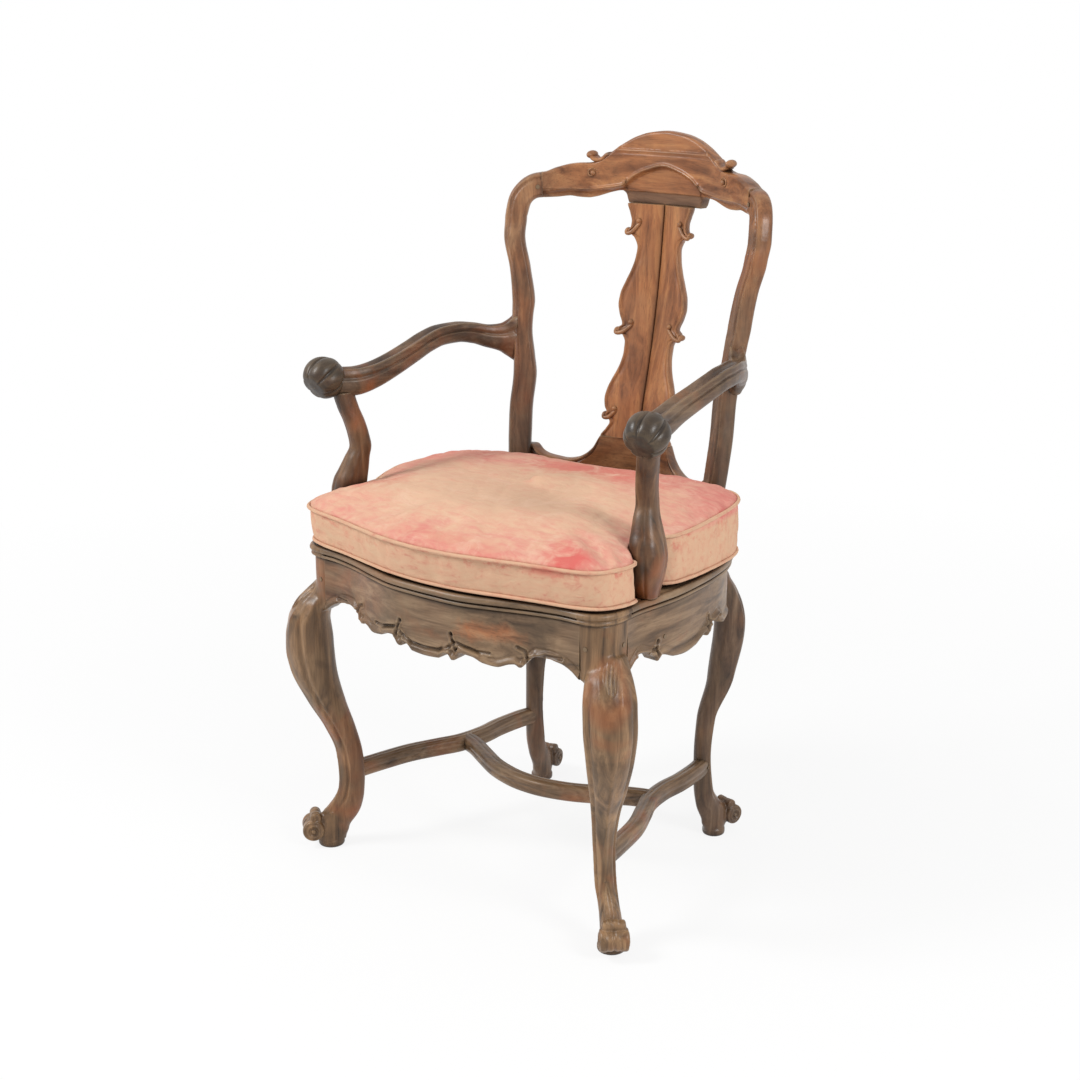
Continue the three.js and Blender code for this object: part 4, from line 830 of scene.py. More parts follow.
def make_crest():
    steps = 200
    reach = crest_half_length + 0.0015
    rings = [crest_section(reach * (2 * i / steps - 1)) for i in range(steps + 1)]
    crest = Shell().loft(rings).make("crest")
    parts = []
    for side in (1, -1):
        ear = []
        count = 30
        for i in range(count + 1):
            place = ear_rows[0][0] + (ear_rows[-1][0] - ear_rows[0][0]) * i / count
            z_share, size, lean = follow(ear_rows, place)
            x = side * place * crest_half_length
            z = crest_base + z_share * crest_height
            across = Vector((side * math.cos(rad(lean)), 0, math.sin(rad(lean))))
            centre = Vector((x, back_y(x, z) + crest_thickness / 2 - 0.0008, z))
            thick = crest_thickness / 2 * (1.04 - 0.12 * bump(i / count, 1, 0.2))
            ear.append(ring_of(centre, across, Vector((0, 1, 0)), oval(0.0041 * size, thick, 2.6, 24)))
        parts.append(Shell().loft(ear).make("ear"))
        x = side * 0.677 * crest_half_length
        z = crest_base + 0.637 * crest_height
        knob = Vector((x, back_y(x, z) + crest_thickness / 2 - 0.001, z))
        parts.append(Shell().ball(knob, 0.0062, 2.05, rows=14, sides=24).make("knob"))
        curl_x = crest_volute[0] * crest_half_length
        curl_z = crest_base + crest_volute[1] * crest_height
        path, radii = volute_path(curl_x, curl_z, side, 0.0084, 150, lambda a, b: back_y(a, b) + 0.0004, -1, 0.95)
        parts.append(Shell().tube(path, radii, 12).make("curl"))
        parts.append(Shell().ball(path[-1], 0.0042, rows=12, sides=20).make("button"))
    return sharpen(unite(crest, *parts), 42)


# Small spiral that rises from a face and curls to its button
def volute_path(x, z, side, size, start, face, way=1, turns=1.25):
    path = []
    radii = []
    count = 34
    for i in range(count + 1):
        t = i / count
        turn = rad(start) + way * 2 * math.pi * turns * t
        reach = size * (1 - 0.8 * t)
        px = x + reach * math.cos(turn)
        pz = z + reach * math.sin(turn)
        path.append(Vector((side * px, face(px, pz) - 0.0006 * t, pz)))
        radii.append(0.0009 + 0.0015 * t)
    return path, radii


splat_bottom = seat_top + low_rail_lift + low_rail_height - 0.001
splat_top = crest_base + 0.001


def splat_face(x, z):
    return back_y(0, z) + splat_set - splat_dish * (abs(x) / splat_half_width) ** splat_dish_power


# Curl at a cusp of the splat: from a button on the face, down and out to a knob on the edge
def splat_curl(side, x, z, edge_x, edge_z):
    a = Vector((x, 0, z))
    b = Vector((edge_x, 0, edge_z))
    hooks = [
        a + Vector((-0.0026, 0, 0.0016)), a + Vector((-0.0012, 0, -0.0036)), a + Vector((0.0018, 0, -0.0074)),
        a.lerp(b, 0.45) + Vector((0, 0, -0.0078)), a.lerp(b, 0.8) + Vector((0, 0, -0.0062)),
        b + Vector((0.0012, 0, -0.0034)), b + Vector((0.0022, 0, 0.0005)),
    ]
    path = []
    radii = []
    count = 36
    for i in range(count + 1):
        t = i / count
        p = spline(hooks, t)
        path.append(Vector((side * p.x, splat_face(p.x, p.z) + 0.0003, p.z)))
        radii.append(0.0021 + 0.0012 * math.sin(math.pi * t) + 0.0004 * t)
    shells = [Shell().tube(path, radii, 12).make("curl")]
    button = Vector((side * a.x, splat_face(a.x, a.z) - 0.0002, a.z))
    shells.append(Shell().ball(button, 0.0042).make("button"))
    knob = Vector((side * (b.x + 0.0018), splat_face(b.x, b.z) + splat_thickness * 0.4, b.z))
    shells.append(Shell().ball(knob, 0.0047, 1.55).make("knob"))
    return shells


def make_splat():
    height = splat_top - splat_bottom
    steps = 300
    t = splat_thickness
    rings = []
    for i in range(steps + 1):
        share = i / steps
        z = splat_bottom + height * share
        w = splat_half_width * follow(splat_rows, share)[0]
        right = [(0, 0.0026), (0.0007, 0.0018), (0.0018, 0.0006)]
        inner = w - 0.0105
        for k in range(1, 11):
            right.append((0.002 + (inner - 0.002) * k / 10, 0.0002))
        right += [
            (w - 0.0088, 0.0008), (w - 0.0074, 0.0012), (w - 0.006, 0.0008), (w - 0.0048, -0.0002), (w - 0.0036, -0.0009),
            (w - 0.0024, -0.001), (w - 0.0012, -0.0005), (w - 0.0004, 0.0005), (w, 0.0018), (w, t / 2),
            (w - 0.001, t - 0.002), (w - 0.003, t),
        ]
        left = [(-x, d) for x, d in reversed(right[1:])]
        section = right + [(0, t)] + left
        rings.append([Vector((x, splat_face(x, z) + d, z)) for x, d in section])
    splat = Shell().loft(rings).make("splat_carved")
    parts = []
    for side in (1, -1):
        for x, z, edge, edge_z in splat_curls:
            parts += splat_curl(
                side, x * splat_half_width, splat_bottom + z * height, edge * splat_half_width, splat_bottom + edge_z * height,
            )
    return sharpen(unite(splat, *parts), 42)


def make_low_rail():
    shell = Shell()
    low = seat_top + low_rail_lift
    t = low_rail_thickness
    steps = 180
    rings = []
    for i in range(steps + 1):
        x = low_rail_half_length * (2 * i / steps - 1)
        high = low + low_rail_height * follow(low_rail_rows, abs(x) / low_rail_half_length)[0]
        place = abs(x) / low_rail_half_length
        y = back_y(x, low + low_rail_height) + low_rail_set + 0.008 * smooth_step(place, 0.84, 0.94)
        lip = smooth_step(place, 0.33, 0.39)
        rows = [(0.0005, low + 0.002)]
        for k in range(11):
            rows.append((0, low + 0.004 + (high - 0.0135 - low) * k / 10))
        rows += [
            (0.0013 * lip, high - 0.0082), (0.0014 * lip, high - 0.0072), (0.0004 * lip, high - 0.0058),
            (-0.0009 * lip, high - 0.0048), (-0.0015 * lip, high - 0.0036), (-0.0011 * lip, high - 0.0022),
            (0, high - 0.0009), (0.0014, high - 0.0002),
            (0.004, high), (t - 0.004, high), (t - 0.001, high - 0.001),
            (t, high - 0.004), (t, (high + low) / 2), (t, low + 0.003), (t - 0.003, low), (0.003, low),
        ]
        rings.append([Vector((x, y + d, z)) for d, z in rows])
    return sharpen(shell.loft(rings).make("low_rail_carved"), 50)


# Arm
def arm_point(share):
    x, z = follow(arm_rows, share)[:2]
    return plan(x, share, z * arm_height)


def arm_relief(angle):
    lift = -0.0038 * bump(angle_from(angle, 90), 0, 16)
    for middle in (55, 125):
        lift += 0.0022 * bump(angle_from(angle, middle), 0, 9)
    for middle in (22, 158):
        lift -= 0.003 * bump(angle_from(angle, middle), 0, 8)
    return lift


def make_arm():
    shell = Shell()
    first = arm_rows[0][0]
    last = arm_rows[-1][0]
    steps = 150
    sides = 72
    rings = []
    for i in range(steps + 1):
        share = first + (last - first) * i / steps
        wide, high = follow(arm_rows, share)[2:]
        reach = 0.01
        along = (arm_point(share + reach) - arm_point(share - reach)).normalized()
        across = along.cross(Vector((0, 0, 1))).normalized()
        up = across.cross(along).normalized()
        section = oval(arm_half_width * wide, arm_half_height * high, 2.9, sides, arm_relief)
        rings.append(ring_of(arm_point(share), across, up, section))
    return sharpen(shell.loft(rings).make("arm_carved_right"), 60)


def make_knuckle():
    shell = Shell()
    centre = plan(knuckle_place[0], knuckle_place[1], arm_height)
    axis = Vector((0.12, -1, -0.62)).normalized()
    a = Vector((1, 0.12, 0)).normalized()
    a = (a - axis * a.dot(axis)).normalized()
    b = axis.cross(a).normalized()
    rows = 46
    sides = 96
    rings = []
    for i in range(1, rows):
        lift = math.pi * (i / rows - 0.5)
        ring = []
        for k in range(sides):
            turn = 2 * math.pi * k / sides
            lobe = abs(math.cos(3 * turn)) ** 0.42
            crease = 1.03 - 0.2 * (1 - lobe) * math.cos(lift) ** 0.35
            pinch = 1 - 0.2 * smooth_step(math.sin(lift), 0.68, 1)
            r = knuckle_radius * math.cos(lift) * crease
            ring.append(centre + axis * (knuckle_radius * math.sin(lift) * pinch) + a * (r * math.cos(turn))
                        + b * (r * math.sin(turn)))
        rings.append(ring)
    shell.loft(rings)
    return shell.make("knuckle_right")


def post_relief(share):
    def lift(angle):
        flutes = 0.0034 * abs(math.cos(rad(angle * 2 + 40))) ** 0.7 - 0.0024
        return flutes * (0.35 + 0.65 * bump(share, 0.22, 0.22))

    return lift


def make_arm_post():
    shell = Shell()
    last = arm_post_rows[-1][0]
    steps = 120
    sides = 72
    rings = []
    for i in range(steps + 1):
        share = last * i / steps
        x, y, size = follow(arm_post_rows, share)
        centre = plan(x, y, seat_top + gap + share * (arm_height - seat_top))
        half = arm_post_half * size
        section = oval(half * arm_post_slim, half, 2.5, sides, post_relief(share))
        rings.append(ring_of(centre, Vector((1, 0, 0)), Vector((0, 1, 0)), section))
    shell.loft(rings)
    return shell.make("arm_post_carved_right")


# Stretchers
def stretcher_relief(angle):
    lift = 0
    for middle in (58, 90, 122):
        lift -= 0.0011 * bump(angle_from(angle, middle), 0, 5)
    for middle in (0, 180):
        lift -= 0.001 * bump(angle_from(angle, middle), 0, 8)
    return lift


def stretcher_rings(points):
    sides = 60
    places = even_points(lambda t: spline(points, t), 0.003)
    rings = []
    for t in places:
        step = 0.002
        along = spline(points, min(1, t + step)) - spline(points, max(0, t - step))
        along.z = 0
        along.normalize()
        across = Vector((along.y, -along.x, 0))
        section = oval(stretcher_half_width, stretcher_half_height, 3.2, sides, stretcher_relief)
        rings.append(ring_of(spline(points, t), across, Vector((0, 0, 1)), section))
    return rings


def stretcher_points():
    front = leg_centre(front_leg, stretcher_height / front_leg["height"])
    rear = leg_centre(rear_leg, stretcher_height / rear_leg["height"])
    side = [front] + [plan(x, y, stretcher_height) for x, y in side_route] + [rear]
    start = spline(side, 0.53)
    half = [start] + [plan(x, y, stretcher_height) for x, y in cross_route]
    whole = half + [Vector((-p.x, p.y, p.z)) for p in reversed(half[:-1])]
    return side, whole


def dress(thing, body, material, slot, *replaced):
    thing.data.materials.clear()
    thing.data.materials.append(material)
    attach(thing, body)
    if replaced:
        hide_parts(*replaced)


# Materials
def shade(text):
    values = [int(text[k:k + 2], 16) / 255 for k in (1, 3, 5)]
    linear = [v / 12.92 if v <= 0.04045 else ((v + 0.055) / 1.055) ** 2.4 for v in values]
    return (*linear, 1)


def add(tree, kind, inputs=None, **settings):
    node = tree.nodes.new(kind)
    for key, value in settings.items():
        setattr(node, key, value)
    for key, value in (inputs or {}).items():
        socket = node.inputs[key]
        if isinstance(value, bpy.types.NodeSocket):
            tree.links.new(value, socket)
        else:
            socket.default_value = value
    return node


def mix(tree, factor, a, b, kind="MIX"):
    node = add(tree, "ShaderNodeMix", {0: factor, 6: a, 7: b}, data_type="RGBA", blend_type=kind)
    return node.outputs[2]


def ramp(tree, value, *stops):
    node = add(tree, "ShaderNodeValToRGB", {"Fac": value})
    elements = node.color_ramp.elements
    while len(elements) < len(stops):
        elements.new(0.5)
    for element, (place, colour) in zip(elements, stops):
        element.position = place
        element.color = colour
    return node.outputs["Color"]


def spread(tree, value, low, high, to_low=0.0, to_high=1.0):
    node = add(tree, "ShaderNodeMapRange", {
        "Value": value, "From Min": low, "From Max": high, "To Min": to_low, "To Max": to_high,
    })
    return node.outputs["Result"]


def times(tree, a, b):
    return add(tree, "ShaderNodeMath", {0: a, 1: b}, operation="MULTIPLY").outputs[0]


def noise_at(tree, where, scale, detail=4.0, roughness=0.55, warp=0.0):
    node = add(tree, "ShaderNodeTexNoise", {
        "Vector": where, "Scale": scale, "Detail": detail, "Roughness": roughness, "Distortion": warp,
    })
    return node.outputs["Fac"]


def new_material(name):
    material = bpy.data.materials.new(name)
    material.use_nodes = True
    tree = material.node_tree
    return material, tree, tree.nodes["Principled BSDF"]


# Waxed walnut: tones along the grain, warmer wood showing in patches, a grey film, edges lightened partly by wear and
# partly as a painted highlight, and painted shade darkening the hollows
def wood(name, grain, tones, orange, dust, dark, warm=None):
    material, tree, shader = new_material(name)
    where = add(tree, "ShaderNodeTexCoord").outputs["Object"]
    stretch = [6 if k == grain else 58 for k in range(3)]
    along = add(tree, "ShaderNodeMapping", {"Vector": where, "Scale": stretch}).outputs["Vector"]
    figure = noise_at(tree, along, 1.0, 6.0, 0.58, 0.8)
    colour = ramp(tree, figure, (0.3, shade(tones[0])), (0.5, shade(tones[1])), (0.72, shade(tones[2])))
    if warm:
        figure_warm = ramp(tree, figure, (0.3, shade(warm[0])), (0.5, shade(warm[1])), (0.72, shade(warm[2])))
        colour = mix(tree, warm[3](tree, where), colour, figure_warm)
    fine = [26 if k == grain else 560 for k in range(3)]
    pores = noise_at(tree, add(tree, "ShaderNodeMapping", {"Vector": where, "Scale": fine}).outputs["Vector"], 1.0, 2.0)
    colour = mix(tree, spread(tree, pores, 0.52, 0.72, 0.0, 0.35), colour, shade(tones[0]))
    patch = noise_at(tree, where, 8.0, 3.0, 0.6, 0.8)
    colour = mix(tree, spread(tree, patch, 0.52, 0.68, 0.0, orange), colour, shade("#96532B"))
    film = noise_at(tree, where, 14.0, 5.0, 0.62, 0.4)
    colour = mix(tree, spread(tree, film, 0.46, 0.68, 0.0, dust), colour, shade("#87745A"))
    stain = noise_at(tree, where, 11.0, 4.0, 0.6, 0.9)
    colour = mix(tree, spread(tree, stain, 0.53, 0.7, 0.0, dark), colour, shade("#35261B"))
    # Lighter on sharp edges and ridges: partly worn edges, partly a painted highlight
    edges = add(tree, "ShaderNodeNewGeometry").outputs["Pointiness"]
    colour = mix(tree, spread(tree, edges, 0.515, 0.57, 0.0, 0.38), colour, shade("#A88E6C"))
    # Painted shade: darker where the surface is occluded, in hollows, grooves and joins
    hollow = add(tree, "ShaderNodeAmbientOcclusion", {"Distance": 0.014}, samples=6).outputs["AO"]
    colour = mix(tree, spread(tree, hollow, 0.3, 0.88, 0.88, 0.0), colour, shade("#1C120B"))
    tree.links.new(colour, shader.inputs["Base Color"])
    tree.links.new(spread(tree, film, 0.35, 0.7, 0.3, 0.5), shader.inputs["Roughness"])
    grain_bump = add(tree, "ShaderNodeBump", {"Strength": 0.2, "Distance": 0.0005, "Height": pores})
    dents = noise_at(tree, where, 48.0, 3.0)
    shape_bump = add(tree, "ShaderNodeBump", {
        "Strength": 0.35, "Distance": 0.002, "Height": dents, "Normal": grain_bump.outputs["Normal"],
    })
    tree.links.new(shape_bump.outputs["Normal"], shader.inputs["Normal"])
    shader.inputs["Specular IOR Level"].default_value = 0.36
    shader.inputs["Coat Weight"].default_value = 0.05
    shader.inputs["Coat Roughness"].default_value = 0.2
    return material


def along_axis(axis, low, high, at_low, at_high):
    def share(tree, where):
        value = add(tree, "ShaderNodeSeparateXYZ", {"Vector": where}).outputs[axis]
        if axis == "X":
            value = add(tree, "ShaderNodeMath", {0: value}, operation="ABSOLUTE").outputs[0]
        mottle = spread(tree, noise_at(tree, where, 16.0, 3.0), 0.3, 0.7, -0.22, 0.22)
        value = spread(tree, value, low, high, at_low, at_high)
        return add(tree, "ShaderNodeMath", {0: value, 1: mottle}, operation="ADD", use_clamp=True).outputs[0]

    return share


# 1 at a place, falling to 0 over a stretched distance that is broken up by a mottle
def spot(tree, where, mottle, place, stretch, near, far):
    away = add(tree, "ShaderNodeVectorMath", {0: where, 1: place}, operation="SUBTRACT").outputs[0]
    away = add(tree, "ShaderNodeVectorMath", {0: away, 1: stretch}, operation="MULTIPLY").outputs[0]
    reach = add(tree, "ShaderNodeVectorMath", {0: away}, operation="LENGTH").outputs["Value"]
    broken = spread(tree, mottle, 0.3, 0.7, -0.4 * far, 0.4 * far)
    reach = add(tree, "ShaderNodeMath", {0: reach, 1: broken}, operation="ADD").outputs[0]
    return spread(tree, reach, near, far, 1.0, 0.0)


# Warm wood that shows through in the middle of the right half of the front rail
def apron_warmth(tree, where):
    mottle = noise_at(tree, where, 30.0, 4.0, 0.6, 0.8)
    return times(tree, spot(tree, where, mottle, (0.095, -0.27, 0.441), (0.34, 0.34, 1.2), 0.004, 0.021), 0.85)


# Warm all over, but grey brown towards both ends, and on the narrow band under the arch a darker grey brown that is
# painted shade under the bead
def crest_warmth_and_arch_shade(tree, where):
    parts = add(tree, "ShaderNodeSeparateXYZ", {"Vector": where}).outputs
    ends = along_axis("X", 0.1, 0.19, 1.0, 0.6)(tree, where)
    # Painted shade: under the arch bead the crest keeps only a quarter of its warmth
    band = spread(tree, parts["Z"], crest_band - 0.001, crest_band + 0.001, 0.25, 1.0)
    sides = add(tree, "ShaderNodeMath", {0: parts["X"]}, operation="ABSOLUTE").outputs[0]
    beyond = spread(tree, sides, 0.068, 0.076, 0.0, 1.0)
    either = add(tree, "ShaderNodeMath", {0: band, 1: beyond}, operation="MAXIMUM").outputs[0]
    return times(tree, ends, either)


def velvet_material(name="worn_velvet", piping=False):
    material, tree, shader = new_material(name)
    where = add(tree, "ShaderNodeTexCoord").outputs["Object"]
    parts = add(tree, "ShaderNodeSeparateXYZ", {"Vector": where}).outputs
    cloud = noise_at(tree, where, 8.0, 6.0, 0.68, 0.7)
    brushed = add(tree, "ShaderNodeMapping", {
        "Vector": where, "Scale": (38, 120, 90), "Rotation": (0, 0, rad(-18)),
    }).outputs["Vector"]
    streak = noise_at(tree, brushed, 1.0, 5.0, 0.66, 0.6)
    middle = add(tree, "ShaderNodeVectorMath", {0: where, 1: (0.0, -0.115, seat_top)}, operation="SUBTRACT")
    scaled = add(tree, "ShaderNodeVectorMath", {0: middle.outputs[0], 1: (0.85, 1.3, 0)}, operation="MULTIPLY")
    reach = add(tree, "ShaderNodeVectorMath", {0: scaled.outputs[0]}, operation="LENGTH").outputs["Value"]
    warped = add(tree, "ShaderNodeMath", {0: times(tree, cloud, 0.5), 1: reach}, operation="ADD").outputs[0]
    rosy = spread(tree, warped, 0.33, 0.62)
    speckle = spread(tree, streak, 0.36, 0.66, -0.2, 0.2)
    share = add(tree, "ShaderNodeMath", {0: rosy, 1: speckle}, operation="ADD").outputs[0]
    top = ramp(
        tree, share, (0.0, shade("#DBB497")), (0.3, shade("#DAA990")), (0.62, shade("#D89686")), (1.0, shade("#D07C74")),
    )
    patches = noise_at(tree, where, 24.0, 5.0, 0.66, 0.9)
    for place, stretch, far, strength in (
        ((0.216, -0.236, 0.556), (0.8, 1.1, 0.5), 0.036, 0.92), ((0.05, 0.055, 0.58), (0.5, 1.1, 0.4), 0.072, 0.75),
        ((0.06, -0.272, 0.556), (0.2, 1.2, 0.4), 0.03, 0.28), ((-0.2, -0.15, 0.556), (0.8, 0.8, 0.4), 0.045, 0.5),
    ):
        local = spot(tree, where, patches, place, stretch, 0.2 * far, far)
        top = mix(tree, times(tree, local, strength), top, shade("#D26660"))
    # Pale mottle of crushed pile: partly worn nap, partly a painted sheen
    top = mix(tree, spread(tree, patches, 0.52, 0.68, 0.0, 0.4), top, shade("#E6C3AA"))
    border = ramp(tree, streak, (0.3, shade("#D3B091")), (0.56, shade("#D3A78A")), (0.72, shade("#CA8A76")))
    worn_edge = spot(tree, where, streak, (0.195, -0.266, 0.541), (0.33, 0.33, 1.5), 0.004, 0.0135)
    border = mix(tree, times(tree, worn_edge, 0.75), border, shade("#CB5F57"))
    seam = add(tree, "ShaderNodeMapRange", {
        "Value": parts["Y"], "From Min": seat_front + seat_depth * cushion_rise_shares[1][0],
        "From Max": seat_front + seat_depth * cushion_rise_shares[1][1],
        "To Min": cushion_low + cushion_border, "To Max": cushion_low + cushion_border + cushion_rise,
    }, interpolation_type="SMOOTHSTEP").outputs["Result"]
    above = add(tree, "ShaderNodeMath", {0: parts["Z"], 1: seam}, operation="SUBTRACT").outputs[0]
    colour = mix(tree, 0.0 if piping else spread(tree, above, -0.004, 0.003), border, top)
    worn = noise_at(tree, where, 60.0, 4.0, 0.7)
    under = times(tree, spread(tree, above, -0.024, -0.004), spread(tree, above, -0.002, 0.001, 1.0, 0.0))
    marks = times(tree, under, spread(tree, worn, 0.52, 0.66, 0.0, 0.75))
    colour = mix(tree, marks, colour, shade("#C9655C"))
    # Painted shade: darker red where the cloth is occluded, in creases, at seams and under the welts
    hollow = add(tree, "ShaderNodeAmbientOcclusion", {"Distance": 0.009}, samples=6).outputs["AO"]
    colour = mix(tree, spread(tree, hollow, 0.3, 0.8, 0.62, 0.0), colour, shade("#94483A"))
    tree.links.new(colour, shader.inputs["Base Color"])
    shader.inputs["Roughness"].default_value = 0.95
    shader.inputs["Sheen Weight"].default_value = 0.22
    shader.inputs["Sheen Roughness"].default_value = 0.5
    shader.inputs["Sheen Tint"].default_value = shade("#F6D2B4")
    shader.inputs["Specular IOR Level"].default_value = 0.1
    nap = noise_at(tree, where, 900.0, 2.0)
    nap_bump = add(tree, "ShaderNodeBump", {"Strength": 0.3, "Distance": 0.0006, "Height": nap})
    fold = add(tree, "ShaderNodeBump", {
        "Strength": 0.4, "Distance": 0.0035, "Height": streak, "Normal": nap_bump.outputs["Normal"],
    })
    tree.links.new(fold.outputs["Normal"], shader.inputs["Normal"])
    return material


def cane_material():
    material, tree, shader = new_material("woven_cane")
    where = add(tree, "ShaderNodeTexCoord").outputs["Object"]
    strands = []
    for turn in (0, 90, 45, -45):
        turned = add(tree, "ShaderNodeMapping", {"Vector": where, "Rotation": (0, 0, rad(turn))}).outputs["Vector"]
        wave = add(tree, "ShaderNodeTexWave", {"Vector": turned, "Scale": 26.0}, wave_type="BANDS").outputs["Fac"]
        strands.append(spread(tree, wave, 0.55, 0.7))
    most = strands[0]
    for other in strands[1:]:
        most = add(tree, "ShaderNodeMath", {0: most, 1: other}, operation="MAXIMUM").outputs[0]
    tint = noise_at(tree, where, 40.0)
    straw = ramp(tree, tint, (0.35, shade("#7A5C38")), (0.65, shade("#9A7A4E")))
    tree.links.new(mix(tree, most, shade("#2A1D12"), straw), shader.inputs["Base Color"])
    shader.inputs["Roughness"].default_value = 0.55
    lift = add(tree, "ShaderNodeBump", {"Strength": 0.8, "Distance": 0.001, "Height": most})
    tree.links.new(lift.outputs["Normal"], shader.inputs["Normal"])
    return material


# Cushion
def cushion_half(table):
    points = [plan(x, y) for x, y in table]
    count = 84
    half = [spline(points, i / count) for i in range(count + 1)]
    return half + [Vector((-p.x, p.y, 0)) for p in reversed(half[1:-1])]


# Height of the cushion's upper seam over a place; it rises later on the left, and more at the right rear corner
def seam_height(x, y):
    share = (y - seat_front) / seat_depth
    right = smooth_step(x / seat_half_width, -0.6, 0.6)
    left_start, left_end = cushion_rise_shares[0]
    start = left_start + (cushion_rise_shares[1][0] - left_start) * right
    end = left_end + (cushion_rise_shares[1][1] - left_end) * right
    raised = cushion_rise * smooth_step(share, start, end)
    swell = cushion_swell * smooth_step(share, *cushion_swell_shares[0])
    swell *= smooth_step(x / seat_half_width, *cushion_swell_shares[1])
    return cushion_low + cushion_border + raised + swell, raised


def cushion_ring(size, wall, crown, blend):
    notched = cushion_half(cushion_shares)
    smooth = cushion_half(crown_shares)
    ring = []
    for p, q in zip(notched, smooth):
        at = p.lerp(q, blend)
        lean = cushion_overhang * max(0, (at.y - back_shift) / (-seat_depth / 2)) ** 2 * wall
        seam, raised = seam_height(at.x, at.y)
        z = cushion_low + wall * (seam - cushion_low) + crown * (cushion_crown - raised)
        ring.append(Vector((at.x * size, (at.y - back_shift - lean) * size + back_shift, z)))
    return ring


widest_post = max(arm_post_rows, key=lambda row: row[3])


# Room that an arm post needs at a height, so that the cushion can be lifted straight out
def post_at(z):
    share = (z - seat_top) / (arm_height - seat_top)
    x, y, size = widest_post[1:] if share < widest_post[0] else follow(arm_post_rows, share)
    return plan(x, y, z), arm_post_half * size


def stile_at(z):
    share = (z - seat_top) / (overall_height - seat_top)
    x, y, scale = follow(stile_rows, share)
    return plan(x, y, z) + stile_back * (stile_depth / 2), scale


# Keep a point of the cushion clear of the arm posts and stiles
def clear_of_wood(p, margin):
    side = 1 if p.x > 0 else -1
    q = Vector((abs(p.x), p.y, p.z))
    centre, half = post_at(q.z)
    rel = q - centre
    a = half * arm_post_slim + margin
    b = half + margin
    reach = (abs(rel.x / a) ** 2.5 + abs(rel.y / b) ** 2.5) ** (1 / 2.5)
    if 0 < reach < 1:
        q = Vector((centre.x + rel.x / reach, centre.y + rel.y / reach, q.z))
    for lower in (0, 0.5, 1):
        z = q.z + lower * cushion_lift
        centre, scale = stile_at(z)
        rel = Vector((q.x, q.y, z)) - centre
        u = rel.dot(stile_face) / (stile_half_width * scale + margin)
        v = rel.dot(stile_back) / (stile_depth / 2 + margin)
        reach = (abs(u) ** 3.2 + abs(v) ** 3.2) ** (1 / 3.2)
        if 0 < reach < 1:
            q = Vector((centre.x + rel.x / reach, centre.y + rel.y / reach, q.z))
    return Vector((side * q.x, q.y, q.z))


cover_size = 0.99


def make_cushion():
    shell = Shell()
    rings = [cushion_ring(0.94, 0, 0, 0)]
    steps = 9
    for i in range(steps + 1):
        bulge = 0.007 * math.sin(math.pi * i / steps)
        rings.append(cushion_ring(0.984 + bulge, 0.05 + 0.95 * i / steps, 0, 0))
    for size, crown, blend in cushion_top_rows:
        rings.append(cushion_ring(size * cover_size, 1, crown * 0.86, blend))
    shell.loft(rings)
    thing = shell.make("cushion_cover", 0.005, 2)
    inflate(thing)
    finish_cushion(thing)
    return thing


def seam_distance(p):
    return min(abs(p.z - cushion_low - bottom_seam), abs(p.z - seam_height(p.x, p.y)[0]))


def inflate(thing):
    start = [v.co.copy() for v in thing.data.vertices]
    pins = thing.vertex_groups.new(name="seams")
    for v in thing.data.vertices:
        edge = abs(v.normal.z) < 0.88
        under = v.co.z < cushion_low + 0.003
        if (edge and seam_distance(v.co) < 0.0034) or under:
            pins.add([v.index], 1.0, "REPLACE")
    cloth = thing.modifiers.new("cloth", "CLOTH")
    settings = cloth.settings
    settings.quality = 6
    settings.mass = 0.3
    settings.tension_stiffness = 12
    settings.compression_stiffness = 12
    settings.bending_stiffness = 1.2
    settings.use_pressure = True
    settings.uniform_pressure_force = 5
    settings.vertex_group_mass = "seams"
    settings.effector_weights.gravity = 0
    cloth.collision_settings.use_self_collision = False
    scene = bpy.context.scene
    for number in range(1, 21):
        scene.frame_set(number)
    settle(thing)
    scene.frame_set(1)
    most = 0.012
    for v, before in zip(thing.data.vertices, start):
        move = v.co - before
        if move.length > most:
            v.co = before + move * (most / move.length)


def finish_cushion(thing):
    moves = []
    for v in thing.data.vertices:
        p = v.co
        seam = seam_height(p.x, p.y)[0]
        wave = noise.noise(Vector((p.x * 15, p.y * 15, p.z * 9)))
        ripple = noise.noise(Vector((p.x * 62, p.y * 62, p.z * 12)))
        crease = 1 - abs(noise.noise(Vector((p.x * 26 + 3, p.y * 17, p.z * 20)))) * 4
        on_side = cushion_low + 0.01 < p.z < seam - 0.004
        near = seam_distance(p)
        push = 0.0022 * wave + (0.0013 if on_side else 0.0008) * ripple - 0.0016 * max(0, crease) ** 2
        push += 0.0012 * ripple * bump(near, 0.009, 0.006)
        moves.append(v.normal * push * min(1, near / 0.006))
    for v, move in zip(thing.data.vertices, moves):
        p = v.co + move
        p.z = max(p.z, cushion_low)
        v.co = clear_of_wood(p, 0.0016)
    fine = thing.modifiers.new("fine", "SUBSURF")
    fine.levels = 1
    fine.render_levels = 1
    settle(thing)
    for polygon in thing.data.polygons:
        polygon.use_smooth = True


def make_welts():
    shell = Shell()
    for wall, size in ((1, cover_size), (bottom_seam / cushion_border, 0.988)):
        path = [clear_of_wood(p, 0.0018 + welt_radius) for p in cushion_ring(size, wall, 0, 0)]
        count = len(path)
        rings = []
        for i in range(count):
            along = (path[(i + 1) % count] - path[i - 1]).normalized()
            out = Vector((along.y, -along.x, 0)).normalized()
            ripple = 1 + 0.14 * noise.noise(path[i] * 90)
            rings.append(circle(path[i], out, along.cross(out), welt_radius * ripple, 10))
        shell.loft(rings, True)
    return shell.make("cushion_welts")


